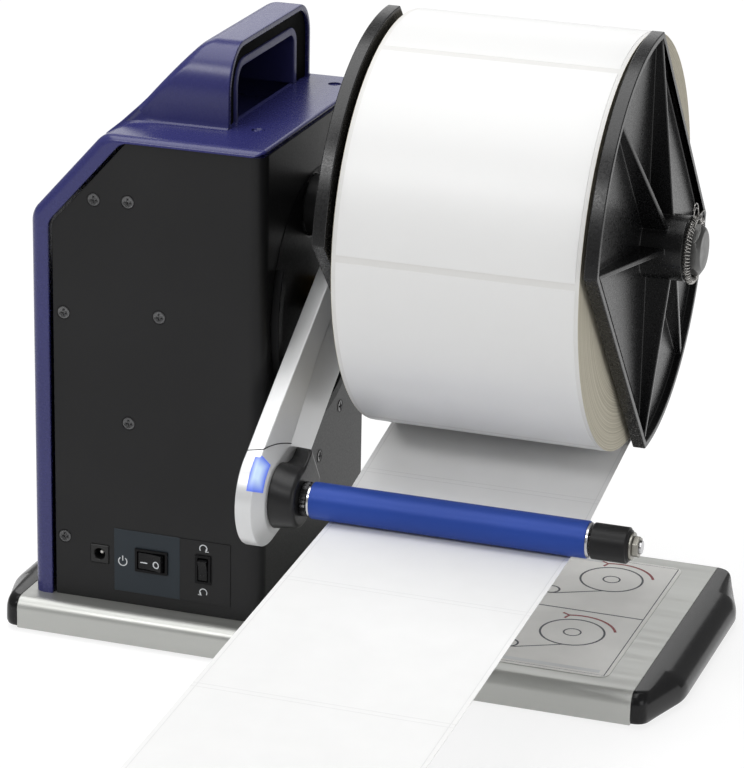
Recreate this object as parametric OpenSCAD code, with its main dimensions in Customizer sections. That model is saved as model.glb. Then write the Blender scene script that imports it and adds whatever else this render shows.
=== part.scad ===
// Label rewinder: a motor tower on a flat base winds a label web between two
// flanges on a hexagonal spindle, with a sprung tension arm and roller in front.
// Millimetres. X runs along the base to the right, Y to the rear and Z up.
// The origin is under the middle of the base, at the level of its rubber strips.

/* [Base] */
// Length of the aluminium plate between its end caps
base_l = 300; // [280:1:360]
// Depth of the aluminium plate
base_w = 165; // [158:1:210]
// Thickness of the aluminium plate
base_t = 15; // [12:0.5:22]
// Radius of the plate's two long top edges
base_edge_r = 6; // [2:0.5:8]
// Metal left above the plate's hollow underside
base_wall = 4; // [2.5:0.5:6]
// How far each end cap stands out past the plate
cap_l = 17; // [12:1:26]
// Run of the bevel at each corner of an end cap
cap_bevel = 34; // [15:1:45]
// Width of the sloping edge around the top of an end cap
cap_slope = 5; // [2:0.5:8]
// Height of the rubber strips below the plate
foot_h = 2; // [1:0.5:6]
// Width of a rubber strip
foot_w = 10; // [7:0.5:14]
// Thickness of the threading guide stuck on the base
sticker_t = 0.3; // [0.2:0.05:0.6]
// Width of the threading guide
sticker_w = 75; // [50:1:85]
// Length of the threading guide, front to rear
sticker_l = 138; // [100:1:145]
// Distance of the guide from the right end of the plate
sticker_edge = 15; // [8:1:25]

/* [Tower] */
// Distance of the tower from the left end of the plate
tower_inset = 4; // [2:0.5:12]
// Distance of the tower from the front edge of the plate
tower_setback = 12; // [8:0.5:14]
// Width of the tower
tower_w = 114; // [110:1:125]
// Depth of the tower
tower_d = 141; // [136:1:144]
// Height of the tower above the plate
tower_h = 227.5; // [222:0.5:250]
// Run of the slanted left shoulder across the tower
chamfer_w = 36; // [26:1:40]
// Drop of the slanted left shoulder
chamfer_h = 40.5; // [30:0.5:42]
// Wall of the moulded blue cover
cover_t = 3; // [2:0.25:3.5]
// Rounding of the blue cover's front edges
cover_round = 5; // [3:0.5:7]
// Width of the blue cover's front rim at the side and shoulder
rim_side = 10.5; // [8:0.5:13]
// Height of the blue cover's front rim along the top
rim_top = 3; // [2.5:0.25:4]
// Thickness of the black sheet steel
sheet_t = 2; // [1:0.25:2.5]
// Bend radius where the black sheet turns from front to side
corner_r = 7; // [4:0.5:10]
// How far the black front lies behind the blue rim
panel_recess = 1.5; // [0.5:0.25:2.5]
// Width of one vent slot in the rear panel
vent_w = 3; // [2:0.5:4]
// Number of vent slots in the rear panel
vent_count = 9; // [5:1:11]

/* [Handle] */
// Distance of the handle's open side from the tower's right face
handle_inset = 28; // [20:1:34]
// Distance of the handle from the tower's front
handle_front = 30; // [24:1:40]
// Distance of the handle from the tower's rear
handle_back = 4; // [2:0.5:10]
// Height of the handle above the tower
handle_h = 37.5; // [34:0.5:46]
// Radius of the handle's upper bends
handle_r = 14; // [8:0.5:16]
// Wall of the handle's outer skin
handle_t = 3; // [2:0.25:4]
// Distance from the handle's front to the grip liner
liner_front = 13; // [9:0.5:18]
// Distance from the handle's top to the grip liner
liner_top = 7; // [5.5:0.5:9]
// Distance from the handle's rear to the grip liner
liner_back = 8; // [6:0.5:12]
// Wall of the grip liner
liner_t = 2.5; // [1.5:0.25:3]
// How far the liner sits inside the handle's open side
liner_recess = 2; // [0.5:0.25:4]
// Depth of the finger pocket below the tower's top
pocket_d = 12; // [6:0.5:14]

/* [Spindle] */
// Distance of the spindle's axis behind the front edge of the plate
spindle_back = 78; // [76:0.5:84]
// Depth of the spindle's axis below the tower's top
spindle_drop = 41.9; // [40:0.1:44]
// Radius of the steel axle inside the tower
axle_r = 6; // [5:0.25:7]
// Radius of the black collar next to the tower
collar_r = 14.5; // [13.5:0.25:16]
// Length of the collar
collar_l = 18; // [17:0.5:20]
// Width across the flats of the hexagonal spindle bar
hex_af = 21; // [18:0.5:22]
// Length of bar that shows past the outer flange's hub
bar_end = 7; // [5:0.5:12]
// Bevel around the end of the spindle bar
bar_bevel = 2; // [1:0.25:3]

/* [Flanges] */
// Radius of a flange to its corners
flange_r = 98; // [90:0.5:100]
// Half the width of a flange across its two straight sides
flange_flat = 65; // [50:0.5:72]
// Turn of the straight sides about the spindle
flange_turn = 41.5; // [0:0.5:90]
// Thickness of a flange's flat plate
flange_t = 2.5; // [2:0.25:3.5]
// Height of a flange's rim
rim_h = 6; // [5:0.25:8]
// Wall of a flange's rim
rim_t = 3; // [2:0.25:4]
// Outer radius of a flange's hub
hub_r = 15; // [14.5:0.25:18]
// Height of a flange's hub
hub_h = 22; // [20:0.5:26]
// Thickness of the ribs on a flange
rib_t = 2.2; // [1.5:0.1:3]
// Height of the ribs where they meet the hub
rib_h = 14; // [10:0.5:18]
// Wire radius of the spring that keeps the outer flange on the bar
clip_wire_r = 0.4; // [0.3:0.05:0.5]
// Radius of that spring's coil, to the middle of its wire
clip_coil_r = 1.5; // [1.2:0.1:1.8]
// Turns of that spring's coil
clip_turns = 34; // [24:1:36]

/* [Label stock] */
// Width of the label web
web_w = 112.5; // [90:0.5:118]
// Radius of the wound roll
roll_r = 95; // [70:0.5:96]
// Outer radius of the cardboard core
core_r = 22.5; // [20:0.5:30]
// Wall of the cardboard core
core_t = 2.5; // [1.5:0.25:4]
// Side play between the roll and each flange
roll_play = 2.2; // [0.5:0.1:3]
// Thickness of the label web
web_t = 0.3; // [0.2:0.05:0.6]
// Slope of the web in front of the roller, in degrees
web_slope = 3.5; // [2:0.1:4]
// How far the straight web reaches in front of the roller's axis
web_reach = 250; // [150:1:260]
// Radius of the curl where the free end of the web drops to the table
web_curl_r = 48; // [40:1:52]
// Length of web that lies on the table
web_tail = 12; // [5:1:40]

/* [Tension arm] */
// Distance of the arm's pivot behind the front edge of the plate
pivot_back = 84; // [82:0.5:88]
// Depth of the arm's pivot below the spindle's axis
pivot_drop = 44.6; // [43.6:0.1:48]
// Distance from the pivot to the roller's axis
arm_len = 116; // [110:0.5:122]
// Angle of the arm below the horizontal at rest, in degrees
arm_rest = 33.8; // [28:0.1:40]
// Thickness of the arm
arm_t = 12; // [10:0.5:12.5]
// Radius of the arm's roller end
arm_r = 24; // [20:0.5:26]
// Radius of the arm's pivot end
arm_pivot_r = 22; // [18:0.5:24]
// Wall of the silver arm shell
arm_wall = 2.5; // [1.5:0.25:3.5]
// Thickness of the arm's back plate
arm_back_t = 2; // [1.5:0.25:3]
// Radius of the pivot shaft
pivot_r = 5; // [4:0.25:6]
// Radius of the black disc round the pivot
disc_r = 61; // [50:0.5:63]
// Thickness of the black disc
disc_t = 4; // [3:0.25:4.5]
// Width of the disc's raised ring
disc_ring = 5.5; // [3:0.5:8]
// Radius of the black hub cover on the arm
hub_cover_r = 16.5; // [15:0.1:20]
// Thickness of the hub cover
hub_cover_t = 12; // [10:0.5:13]
// Wire radius of the arm's torsion spring
spring_wire_r = 0.9; // [0.6:0.05:1.1]
// Turns of the arm's torsion spring
spring_turns = 5; // [3:1:6]

/* [Roller] */
// Radius of the blue roller
roller_r = 8.4; // [7:0.1:9.5]
// Length of the blue roller
roller_l = 131; // [125:0.5:140]
// Radius of the steel roller shaft
roller_shaft_r = 3; // [2.5:0.1:3.5]
// Radius of the roller's bore for its end bushes
bush_r = 5; // [4:0.1:6]
// Thickness of the bushes' visible rims
bush_rim = 1.5; // [1:0.1:2]
// Length of the black end sleeve
sleeve_l = 17; // [12:0.5:22]

/* [Controls] */
// Distance of the power socket from the tower's left face
jack_x = 33.2; // [30:0.2:35]
// Distance of the power switch from the tower's left face
power_x = 59.6; // [56:0.2:62]
// Distance of the winding selector from the tower's left face
selector_x = 85.6; // [82:0.2:88]
// Height of the controls above the plate
control_up = 23.3; // [20:0.1:30]
// Width of the power switch
power_w = 16.4; // [14:0.1:18]
// Height of the power switch
power_h = 11.6; // [9:0.1:12]
// Width of the winding selector
selector_w = 7.8; // [6:0.1:10]
// Height of the winding selector
selector_h = 14.2; // [11:0.1:15]
// Radius of the power plug's bore
jack_bore_r = 2.75; // [2:0.05:3]
// Tilt of a switch's rocker at rest, in degrees
rocker_tilt = 8; // [5:0.5:10]

/* [Drive] */
// Gear module
gear_m = 1; // [0.8:0.1:1.1]
// Teeth of the spindle gear
gear_teeth = 60; // [56:2:64]
// Teeth of the motor pinion
pinion_teeth = 15; // [14:1:18]
// Width of the gears
gear_w = 8; // [6:0.5:10]
// Radius of the motor
motor_r = 17; // [14:0.5:18]
// Length of the motor
motor_l = 46; // [38:1:48]
// Gap between the two walls of the chassis
chassis_gap = 32; // [30:0.5:34]
// Thickness of the chassis steel
chassis_t = 3; // [2:0.25:4]

/* [Fits] */
// Radial clearance of a running fit
run_fit = 0.06; // [0.02:0.01:0.1]
// Clearance between fixed pieces
fixed_gap = 0.2; // [0.1:0.05:0.3]
// Clearance between pieces that pass each other
pass_gap = 0.5; // [0.3:0.05:0.8]
// Clearance between the web and what it runs on
web_gap = 0.3; // [0.2:0.05:0.5]

/* [Hidden] */
$fn = 64;
// Overshoot of a cut past the face that it opens
cut = 1;

// Width of the solid rails under the plate
rail_w = foot_w + 10;

// Reference planes of the base and the tower
base_x = -base_l / 2;
base_y = -base_w / 2;
plate_top = foot_h + base_t;
tower_x = base_x + tower_inset;
tower_right = tower_x + tower_w;
tower_y = base_y + tower_setback;
tower_rear = tower_y + tower_d;
tower_top = plate_top + tower_h;
panel_y = tower_y + panel_recess;
shoulder_slope = chamfer_h / chamfer_w;

// Spindle axis and the stations along it
spindle_y = base_y + spindle_back;
spindle_z = tower_top - spindle_drop;
collar_x = tower_right + pass_gap;
bar_x = collar_x + collar_l;
inner_face_x = bar_x + fixed_gap + hub_h;
roll_x = inner_face_x + roll_play;
outer_face_x = roll_x + web_w + roll_play;
bar_x2 = outer_face_x + hub_h + bar_end;
hex_r = hex_af / 2 / cos(30);
axle_grip = 14;

// Pivot, roller axis and the stations across the arm
pivot_y = base_y + pivot_back;
pivot_z = spindle_z - pivot_drop;
roller_y = pivot_y - arm_len * cos(arm_rest);
roller_z = pivot_z - arm_len * sin(arm_rest);
arm_x = tower_right + disc_t + 4 * pass_gap;
arm_x2 = arm_x + arm_t;
hub_x2 = arm_x2 + hub_cover_t;
bush_x = hub_x2 + pass_gap;
roller_x = bush_x + bush_rim;
roller_x2 = roller_x + roller_l;
sleeve_x = roller_x2 + bush_rim + pass_gap;
sleeve_x2 = sleeve_x + sleeve_l;
washer_t = 1.2;
nut_t = 2.8;

// Stations across the chassis inside the tower
chassis_x2 = tower_right - sheet_t - fixed_gap;
wall2_x = chassis_x2 - chassis_t;
wall1_x = wall2_x - chassis_gap - chassis_t;
gear_x = wall1_x + chassis_t + (chassis_gap - gear_w) / 2;
bearing_r = axle_r + 8;
bearing_w = 8;
chassis_y = tower_y + panel_recess + sheet_t + 10;
chassis_y2 = tower_rear - 14;
chassis_top = min(spindle_z + bearing_r + 8, tower_top - cover_t - 2 * pass_gap);
pinion_y = spindle_y - gear_m * (gear_teeth + pinion_teeth) / 2;
motor_shaft_r = 2;
motor_pilot_r = 6;
sensor_r = 11;

// Web path: tangent angle from the roller up to the roll
span_y = spindle_y - roller_y;
span_z = spindle_z - roller_z;
wrap_roll = roll_r + web_gap;
wrap_roller = roller_r + web_gap;
web_angle = atan2(span_z, span_y) - asin((wrap_roll - wrap_roller) / norm([span_y, span_z]));

// Screw sizes
screw_r = 1.5;
screw_head_r = 3;
screw_head_t = 1.2;
screw_l = 6;
// Panel screws as shares of the tower's width and height, and the others in millimetres
panel_screw_at = [
    [0.276, 0.862], [0.423, 0.865], [0.14, 0.617], [0.556, 0.632], [0.422, 0.397], [0.135, 0.13]
];
side_screw_at = [[108, 72.3], [79.6, 56.3]];
top_screw_at = [[15.6, 35], [11.6, 126]];

// Cylinder along X between two stations
module x_rod(x1, x2, r) {
    translate([x1, 0, 0]) rotate([0, 90, 0]) cylinder(r = r, h = x2 - x1);
}

// Hexagonal bar along X with flats to the front and rear
module x_hex(x1, x2, r) {
    translate([x1, 0, 0]) rotate([0, 90, 0]) cylinder(r = r, h = x2 - x1, $fn = 6);
}

// Flat outline in Y and Z, thickened along X from a station
module yz_plate(x1, t) {
    translate([x1, 0, 0]) rotate([90, 0, 90]) linear_extrude(t) children();
}

// Flat outline in X and Z, thickened along Y between two stations
module xz_plate(y1, y2) {
    translate([0, y2, 0]) rotate([90, 0, 0]) linear_extrude(y2 - y1) children();
}

// Places children on the spindle's, the pivot's or the roller's axis
module at_spindle() { translate([0, spindle_y, spindle_z]) children(); }
module at_pivot() { translate([0, pivot_y, pivot_z]) children(); }
module at_roller() { translate([0, roller_y, roller_z]) children(); }

// Places children on the tower's front at the six panel screws
module at_panel_screws() {
    for (p = panel_screw_at)
        translate([tower_x + tower_w * p[0], panel_y, plate_top + tower_h * p[1]]) children();
}

// Places children on the tower's right face at the side screws
module at_side_screws() {
    for (p = side_screw_at) translate([tower_right, tower_y + p[0], plate_top + p[1]]) children();
}

// Places children on the tower's top at the top screws
module at_top_screws() {
    for (p = top_screw_at)
        translate([tower_right - p[0], tower_y + p[1], tower_top]) children();
}

// Countersunk screw along -Z from the origin, with a cross recess
module flat_screw(l = screw_l) {
    difference() {
        union() {
            translate([0, 0, -screw_head_t]) cylinder(r1 = screw_r, r2 = screw_head_r, h = screw_head_t);
            translate([0, 0, -l]) cylinder(r = screw_r, h = l - screw_head_t / 2);
        }
        for (a = [0, 90]) rotate(a) translate([-1.8, -0.35, -0.8]) cube([3.6, 0.7, cut + 0.8]);
    }
}

// Seat for the countersunk screw
module screw_seat(l = screw_l) {
    gap = fixed_gap / 2;
    translate([0, 0, -screw_head_t - gap])
        cylinder(r1 = screw_r + gap, r2 = screw_head_r + gap, h = screw_head_t + gap);
    translate([0, 0, -l - cut]) cylinder(r = screw_r + gap, h = l + cut);
    translate([0, 0, -gap]) cylinder(r = screw_head_r + gap, h = cut);
}

// Outline of the tower in X and Z, drawn in by a margin at the side, shoulder and top
module tower_outline(side, top, right = 0, bottom = 0) {
    slant = norm([chamfer_w, chamfer_h]) / chamfer_w;
    z_at_side = tower_top - chamfer_h - side * slant + side * shoulder_slope;
    x_at_top = tower_x + chamfer_w + (side * slant - top) / shoulder_slope;
    polygon([
        [tower_x + side, plate_top + bottom],
        [tower_x + side, z_at_side],
        [x_at_top, tower_top - top],
        [tower_right - right, tower_top - top],
        [tower_right - right, plate_top + bottom]
    ]);
}

// Arch in Y and Z with two round upper corners
module arch(y1, y2, z1, z2, r) {
    translate([y1, z1]) square([y2 - y1, z2 - z1 - r]);
    translate([y1 + r, z1]) square([y2 - y1 - 2 * r, z2 - z1]);
    translate([y1 + r, z2 - r]) circle(r);
    translate([y2 - r, z2 - r]) circle(r);
}

// Plan outline of the right end cap, drawn in by a margin on its outer sides
module cap_outline(margin) {
    nose = cap_l - 7;
    polygon([
        [0, base_y + margin],
        [nose - margin, base_y + margin],
        [cap_l - margin, base_y + cap_bevel],
        [cap_l - margin, -base_y - cap_bevel],
        [nose - margin, -base_y - margin],
        [0, -base_y - margin]
    ]);
}

module end_cap() {
    hull() {
        linear_extrude(base_t - cap_slope) cap_outline(0);
        linear_extrude(base_t) cap_outline(cap_slope);
    }
}

// Aluminium extrusion with round long top edges and two channels underneath
module base_plate() {
    channel_w = (base_w - 3 * rail_w) / 2;
    color([0.72, 0.73, 0.72]) difference() {
        yz_plate(base_x, base_l) {
            translate([base_y, foot_h]) square([base_w, base_t - base_edge_r]);
            translate([base_y + base_edge_r, foot_h]) square([base_w - 2 * base_edge_r, base_t]);
            for (s = [-1, 1]) translate([s * (base_w / 2 - base_edge_r), plate_top - base_edge_r])
                circle(base_edge_r);
        }
        for (y = [base_y + rail_w, rail_w / 2])
            translate([base_x - cut, y, foot_h - cut])
                cube([base_l + 2 * cut, channel_w, base_t - base_wall + cut]);
        for (p = chassis_bolts()) translate([p[0], p[1], foot_h])
            cylinder(r = screw_r + fixed_gap / 2, h = base_t + cut);
    }
}

// Centres of the four screws that hold the chassis to the base
function chassis_bolts() = [
    for (x = [wall1_x + 9, wall2_x - 6]) for (y = [chassis_y + 12, chassis_y2 - 12]) [x, y]
];

// Black moulded end caps with bevelled corners
module right_end_cap() {
    color([0.05, 0.05, 0.05]) translate([-base_x, 0, foot_h]) end_cap();
}

module left_end_cap() {
    color([0.05, 0.05, 0.05]) mirror([1, 0, 0]) translate([-base_x, 0, foot_h]) end_cap();
}

// Three rubber strips under the plate's front, middle and rear rails
module rubber_strips() {
    strip_l = base_l - 2 * foot_w;
    color([0.1, 0.1, 0.1]) for (y = [base_y + rail_w / 2, 0, -base_y - rail_w / 2])
        translate([-strip_l / 2, y - foot_w / 2, 0]) cube([strip_l, foot_w, foot_h]);
}

// Printed threading guide on the right of the base
module threading_guide() {
    r = 5;
    color([0.85, 0.85, 0.84])
        translate([-base_x - sticker_edge - sticker_w, -sticker_l / 2, plate_top])
            linear_extrude(sticker_t) {
            translate([r, 0]) square([sticker_w - 2 * r, sticker_l]);
            translate([0, r]) square([sticker_w, sticker_l - 2 * r]);
            for (x = [r, sticker_w - r]) for (y = [r, sticker_l - r]) translate([x, y]) circle(r);
        }
}

// Black sheet bent round the front right edge: the front and the right side in one piece
module front_cover() {
    inner_r = corner_r - sheet_t;
    color([0.07, 0.07, 0.07]) difference() {
        intersection() {
            translate([0, 0, plate_top]) linear_extrude(tower_h) difference() {
                union() {
                    translate([tower_x, panel_y]) square([tower_w - corner_r, sheet_t]);
                    translate([tower_right - sheet_t, panel_y + corner_r])
                        square([sheet_t, tower_rear - panel_y - corner_r]);
                    translate([tower_right - corner_r, panel_y + corner_r]) intersection() {
                        circle(corner_r);
                        translate([0, -corner_r]) square(corner_r);
                    }
                }
                translate([tower_right - corner_r, panel_y + corner_r]) circle(inner_r);
            }
            xz_plate(panel_y - cut, tower_rear + cut)
                tower_outline(rim_side + fixed_gap, rim_top + fixed_gap);
        }
        at_panel_screws() rotate([90, 0, 0]) screw_seat();
        at_side_screws() rotate([0, 90, 0]) screw_seat();
        at_pivot() x_rod(tower_right - sheet_t - cut, tower_right + cut, bush_hole_r());
        at_spindle() x_rod(tower_right - sheet_t - cut, tower_right + cut, bearing_r + pass_gap);
        control_hole(jack_x, 2 * jack_body_r() + fixed_gap, 2 * jack_body_r() + fixed_gap);
        control_hole(power_x, power_w - 2 * switch_lap, power_h - 2 * switch_lap);
        control_hole(selector_x, selector_w - 2 * switch_lap, selector_h - 2 * switch_lap);
    }
}

function bush_hole_r() = pivot_r + 3 + fixed_gap;
function jack_body_r() = jack_bore_r + 1.75;
// Depth of the plug's bore, in front of the contact pin
jack_seat = 4.6;

// Rectangular hole through the front sheet and what lies right behind it
module control_hole(x, w, h) {
    translate([tower_x + x - w / 2, panel_y - cut, plate_top + control_up - h / 2])
        cube([w, sheet_t + bracket_t() + 2 * cut, h]);
}

function bracket_t() = 2;

// Steel frame behind the front sheet that takes the panel screws
module panel_bracket() {
    y1 = panel_y + sheet_t + fixed_gap / 2;
    window = 0.14 * tower_w;
    window_h = 0.15 * tower_h;
    window_w = tower_w - 2 * window - 14;
    color([0.6, 0.6, 0.62]) difference() {
        xz_plate(y1, y1 + bracket_t())
            tower_outline(rim_side + 1, rim_top + 6, corner_r + 1, fixed_gap);
        xz_plate(y1 - cut, y1 + bracket_t() + cut) {
            for (share = [0.21, 0.43])
                translate([tower_x + window + 8, plate_top + share * tower_h]) square([window_w, window_h]);
            translate([tower_x + chamfer_w + window + 4, plate_top + 0.67 * tower_h])
                square([window_w - chamfer_w + 4, window_h]);
        }
        at_panel_screws() rotate([90, 0, 0]) translate([0, 0, -screw_l - cut])
            cylinder(r = screw_r + fixed_gap / 2, h = screw_l + cut);
        control_hole(jack_x, 2 * jack_body_r() + 1, 2 * jack_body_r() + 1);
        control_hole(power_x, power_w, power_h);
        control_hole(selector_x, selector_w, selector_h);
    }
}

// Black rear sheet with a row of vent slots
module rear_panel() {
    y2 = tower_rear - 1;
    pitch = 2 * vent_w;
    slots_w = (vent_count - 1) * pitch;
    middle_x = (tower_x + tower_right) / 2 + 6;
    color([0.09, 0.09, 0.09]) difference() {
        xz_plate(y2 - sheet_t, y2)
            tower_outline(cover_t + fixed_gap, cover_t + fixed_gap, sheet_t + fixed_gap);
        for (i = [0 : vent_count - 1]) xz_plate(y2 - sheet_t - cut, y2 + cut)
            translate([middle_x - slots_w / 2 + i * pitch - vent_w / 2, plate_top + 0.53 * tower_h])
                square([vent_w, 0.22 * tower_h]);
    }
}

// Blue moulded cover: left wall, slanted shoulder and top, with a rounded front rim
module side_cover() {
    steps = 4;
    rim_t = 3;
    color([0.16, 0.14, 0.42]) difference() {
        hull() {
            for (i = [0 : steps]) {
                a = 90 * i / steps;
                inset = cover_round * (1 - sin(a));
                translate([0, cover_round * (1 - cos(a)), 0]) xz_plate(tower_y, tower_y + 0.01)
                    tower_outline(inset, inset, inset);
            }
            xz_plate(tower_rear - 0.01, tower_rear) tower_outline(0, 0);
        }
        xz_plate(tower_y + rim_t, tower_rear + cut) tower_outline(cover_t, cover_t, -cut, -cut);
        xz_plate(tower_y - cut, tower_y + rim_t + cut) tower_outline(rim_side, rim_top, -cut, -cut);
        at_top_screws() screw_seat();
        translate([pocket_x - fixed_gap, pocket_y - fixed_gap, tower_top - cover_t - cut])
            cube([pocket_x2 - pocket_x + 2 * fixed_gap, pocket_y2 - pocket_y + 2 * fixed_gap,
                cover_t + 2 * cut]);
    }
}

// Space under the handle's slanted left side, set in by a margin, out to a station in X
module handle_prism(margin, x2) {
    slant = margin * norm([chamfer_w, chamfer_h]) / chamfer_h;
    x1 = tower_x + chamfer_w + slant;
    xz_plate(tower_y, tower_rear) polygon([
        [x1, tower_top],
        [x1 + (handle_h + cut) / shoulder_slope, tower_top + handle_h + cut],
        [x2, tower_top + handle_h + cut],
        [x2, tower_top]
    ]);
}

handle_x2 = tower_right - handle_inset;
handle_y = tower_y + handle_front;
handle_y2 = tower_rear - handle_back;
handle_z = tower_top + handle_h;

// Outside of the liner's pocket below the tower's top
pocket_x = tower_x + chamfer_w + (handle_t + fixed_gap) * norm([chamfer_w, chamfer_h]) / chamfer_h;
pocket_x2 = handle_x2 - liner_recess;
pocket_y = handle_y + liner_front;
pocket_y2 = handle_y2 - liner_back;
pocket_z = max(tower_top - pocket_d, chassis_top + cut);

// Blue hood of the carry handle, open to the right
module carry_handle() {
    color([0.16, 0.14, 0.42]) difference() {
        intersection() {
            yz_plate(tower_x, tower_w) arch(handle_y, handle_y2, tower_top, handle_z, handle_r);
            handle_prism(0, handle_x2);
        }
        intersection() {
            yz_plate(tower_x, tower_w)
                arch(handle_y + handle_t, handle_y2 - handle_t, tower_top - cut, handle_z - handle_t,
                    handle_r - handle_t);
            translate([-cut / shoulder_slope, 0, -cut]) handle_prism(handle_t, handle_x2 + 3 * cut);
        }
    }
}

// Inner shell of the handle that the fingers touch, with a pocket below the tower's top
module grip_liner() {
    y1 = pocket_y + liner_t;
    y2 = pocket_y2 - liner_t;
    z2 = handle_z - liner_top;
    r = handle_r - handle_t - 2;
    color([0.13, 0.12, 0.36]) {
        difference() {
            intersection() {
                yz_plate(tower_x, tower_w) arch(pocket_y, pocket_y2, tower_top, z2, r);
                handle_prism(handle_t + fixed_gap, pocket_x2);
            }
            intersection() {
                yz_plate(tower_x, tower_w) arch(y1, y2, tower_top - cut, z2 - liner_t, r - liner_t);
                translate([-cut / shoulder_slope, 0, -cut])
                    handle_prism(handle_t + fixed_gap + liner_t, pocket_x2 + 3 * cut);
            }
        }
        difference() {
            translate([pocket_x, pocket_y, pocket_z])
                cube([pocket_x2 - pocket_x, pocket_y2 - pocket_y, tower_top - pocket_z]);
            translate([pocket_x + liner_t, y1, pocket_z + liner_t])
                cube([pocket_x2 - pocket_x - 2 * liner_t, y2 - y1, tower_top - pocket_z]);
        }
    }
}

// Bent steel frame: two walls and a foot, with holes for the bearings and the pivot
module chassis() {
    color([0.6, 0.6, 0.62]) difference() {
        translate([0, chassis_y2, 0]) rotate([90, 0, 0]) linear_extrude(chassis_y2 - chassis_y) {
            translate([wall1_x, plate_top]) square([chassis_t, chassis_top - plate_top]);
            translate([wall2_x, plate_top]) square([chassis_t, chassis_top - plate_top]);
            translate([wall1_x, plate_top]) square([chassis_x2 - wall1_x, chassis_t]);
        }
        at_spindle() x_rod(wall1_x - cut, chassis_x2 + cut, bearing_r + run_fit);
        at_pivot() x_rod(wall1_x - cut, chassis_x2 + cut, bush_hole_r());
        translate([0, pinion_y, spindle_z])
            x_rod(wall1_x - cut, wall1_x + chassis_t + cut, motor_pilot_r + fixed_gap);
        at_side_screws() rotate([0, 90, 0]) translate([0, 0, -screw_l - cut])
            cylinder(r = screw_r + fixed_gap / 2, h = screw_l + cut);
        for (p = chassis_bolts()) translate([p[0], p[1], plate_top - cut])
            cylinder(r = screw_r + fixed_gap / 2, h = chassis_t + 2 * cut);
    }
}

// Screws from the chassis foot down into the base
module chassis_screws() {
    color([0.75, 0.75, 0.76]) for (p = chassis_bolts()) translate([p[0], p[1], plate_top + chassis_t]) {
        difference() {
            cylinder(r = screw_head_r, h = 2);
            for (a = [0, 90]) rotate(a) translate([-1.8, -0.35, 1.2]) cube([3.6, 0.7, cut + 1]);
        }
        translate([0, 0, -chassis_t - base_wall]) cylinder(r = screw_r, h = chassis_t + base_wall);
    }
}

// Six cross-recess screws in the black front
module panel_screws() {
    color([0.2, 0.2, 0.2]) at_panel_screws() rotate([90, 0, 0]) flat_screw();
}

// Screws in the right side and the top of the covers
module cover_screws() {
    color([0.2, 0.2, 0.2]) {
        at_side_screws() rotate([0, 90, 0]) flat_screw();
        at_top_screws() flat_screw();
    }
}

// Ball bearing from X = 0, with a groove between its races on both faces
module bearing() {
    groove = 0.8;
    difference() {
        x_rod(0, bearing_w, bearing_r);
        x_rod(-cut, bearing_w + cut, axle_r + run_fit);
        for (x = [-cut, bearing_w - groove]) difference() {
            x_rod(x, x + groove + cut, bearing_r - 2);
            x_rod(x - cut, x + 2 * cut + groove, axle_r + 2.5);
        }
    }
}

// Bearings of the spindle axle, one in each chassis wall
module spindle_bearings() {
    color([0.8, 0.8, 0.82]) at_spindle() {
        translate([wall1_x, 0, 0]) bearing();
        translate([chassis_x2 - bearing_w, 0, 0]) bearing();
    }
}

// Direct current gear motor on the inner chassis wall
module drive_motor() {
    x2 = wall1_x - fixed_gap;
    gearbox_l = 14;
    color([0.35, 0.36, 0.38]) translate([0, pinion_y, spindle_z]) difference() {
        union() {
            x_rod(x2 - gearbox_l, x2, motor_r);
            x_rod(x2 - motor_l, x2 - gearbox_l, motor_r - 1.5);
            x_rod(x2, wall1_x + chassis_t, motor_pilot_r);
            x_rod(x2 - motor_l - 4, x2 - motor_l, 5);
        }
        x_rod(wall1_x - 10, wall1_x + chassis_t + cut, motor_shaft_r + run_fit);
    }
}

// Tooth outline of a spur gear, turned so that a tooth or a gap points along +Y
module gear_outline(teeth, turn) {
    pitch_r = gear_m * teeth / 2;
    tip_r = pitch_r + 0.9 * gear_m;
    root_r = pitch_r - 1.2 * gear_m;
    step = 360 / teeth;
    polygon([
        for (i = [0 : teeth - 1]) for (p = [[-0.34, root_r], [-0.22, pitch_r], [-0.1, tip_r],
            [0.1, tip_r], [0.22, pitch_r], [0.34, root_r]])
            [p[1] * cos((i + p[0]) * step + turn), p[1] * sin((i + p[0]) * step + turn)]
    ]);
}

// Pinion on the motor's own shaft
module motor_pinion() {
    color([0.8, 0.68, 0.36]) translate([0, pinion_y, spindle_z]) {
        yz_plate(gear_x, gear_w) gear_outline(pinion_teeth, 180 / pinion_teeth);
        x_rod(wall1_x - 9, gear_x + gear_w, motor_shaft_r);
    }
}

// Control board on the inner chassis wall, with its relay, capacitor and plug blocks
module circuit_board() {
    board_t = 1.6;
    standoff = 5;
    x2 = wall1_x - standoff;
    board_y = chassis_y + 8;
    board_z = plate_top + 0.176 * tower_h;
    board_d = 0.66 * (chassis_y2 - chassis_y);
    board_h = pivot_z - sensor_r - 8 - board_z;
    color([0.1, 0.35, 0.18]) {
        translate([x2 - board_t, board_y, board_z]) cube([board_t, board_d, board_h]);
        for (y = [6, board_d - 6]) for (z = [6, board_h - 6])
            translate([0, board_y + y, board_z + z]) x_rod(x2, wall1_x, 3);
        translate([x2 - board_t - 15, board_y + 12, board_z + 12]) cube([15, 19, 15]);
        translate([0, board_y + board_d - 24, board_z + 22]) x_rod(x2 - board_t - 20, x2 - board_t, 6);
        translate([x2 - board_t - 9, board_y + 10, board_z + board_h - 14]) cube([9, board_d - 36, 8]);
        translate([x2 - board_t - 3, board_y + board_d / 2, board_z + board_h / 2]) cube([3, 14, 14]);
    }
}

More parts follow.
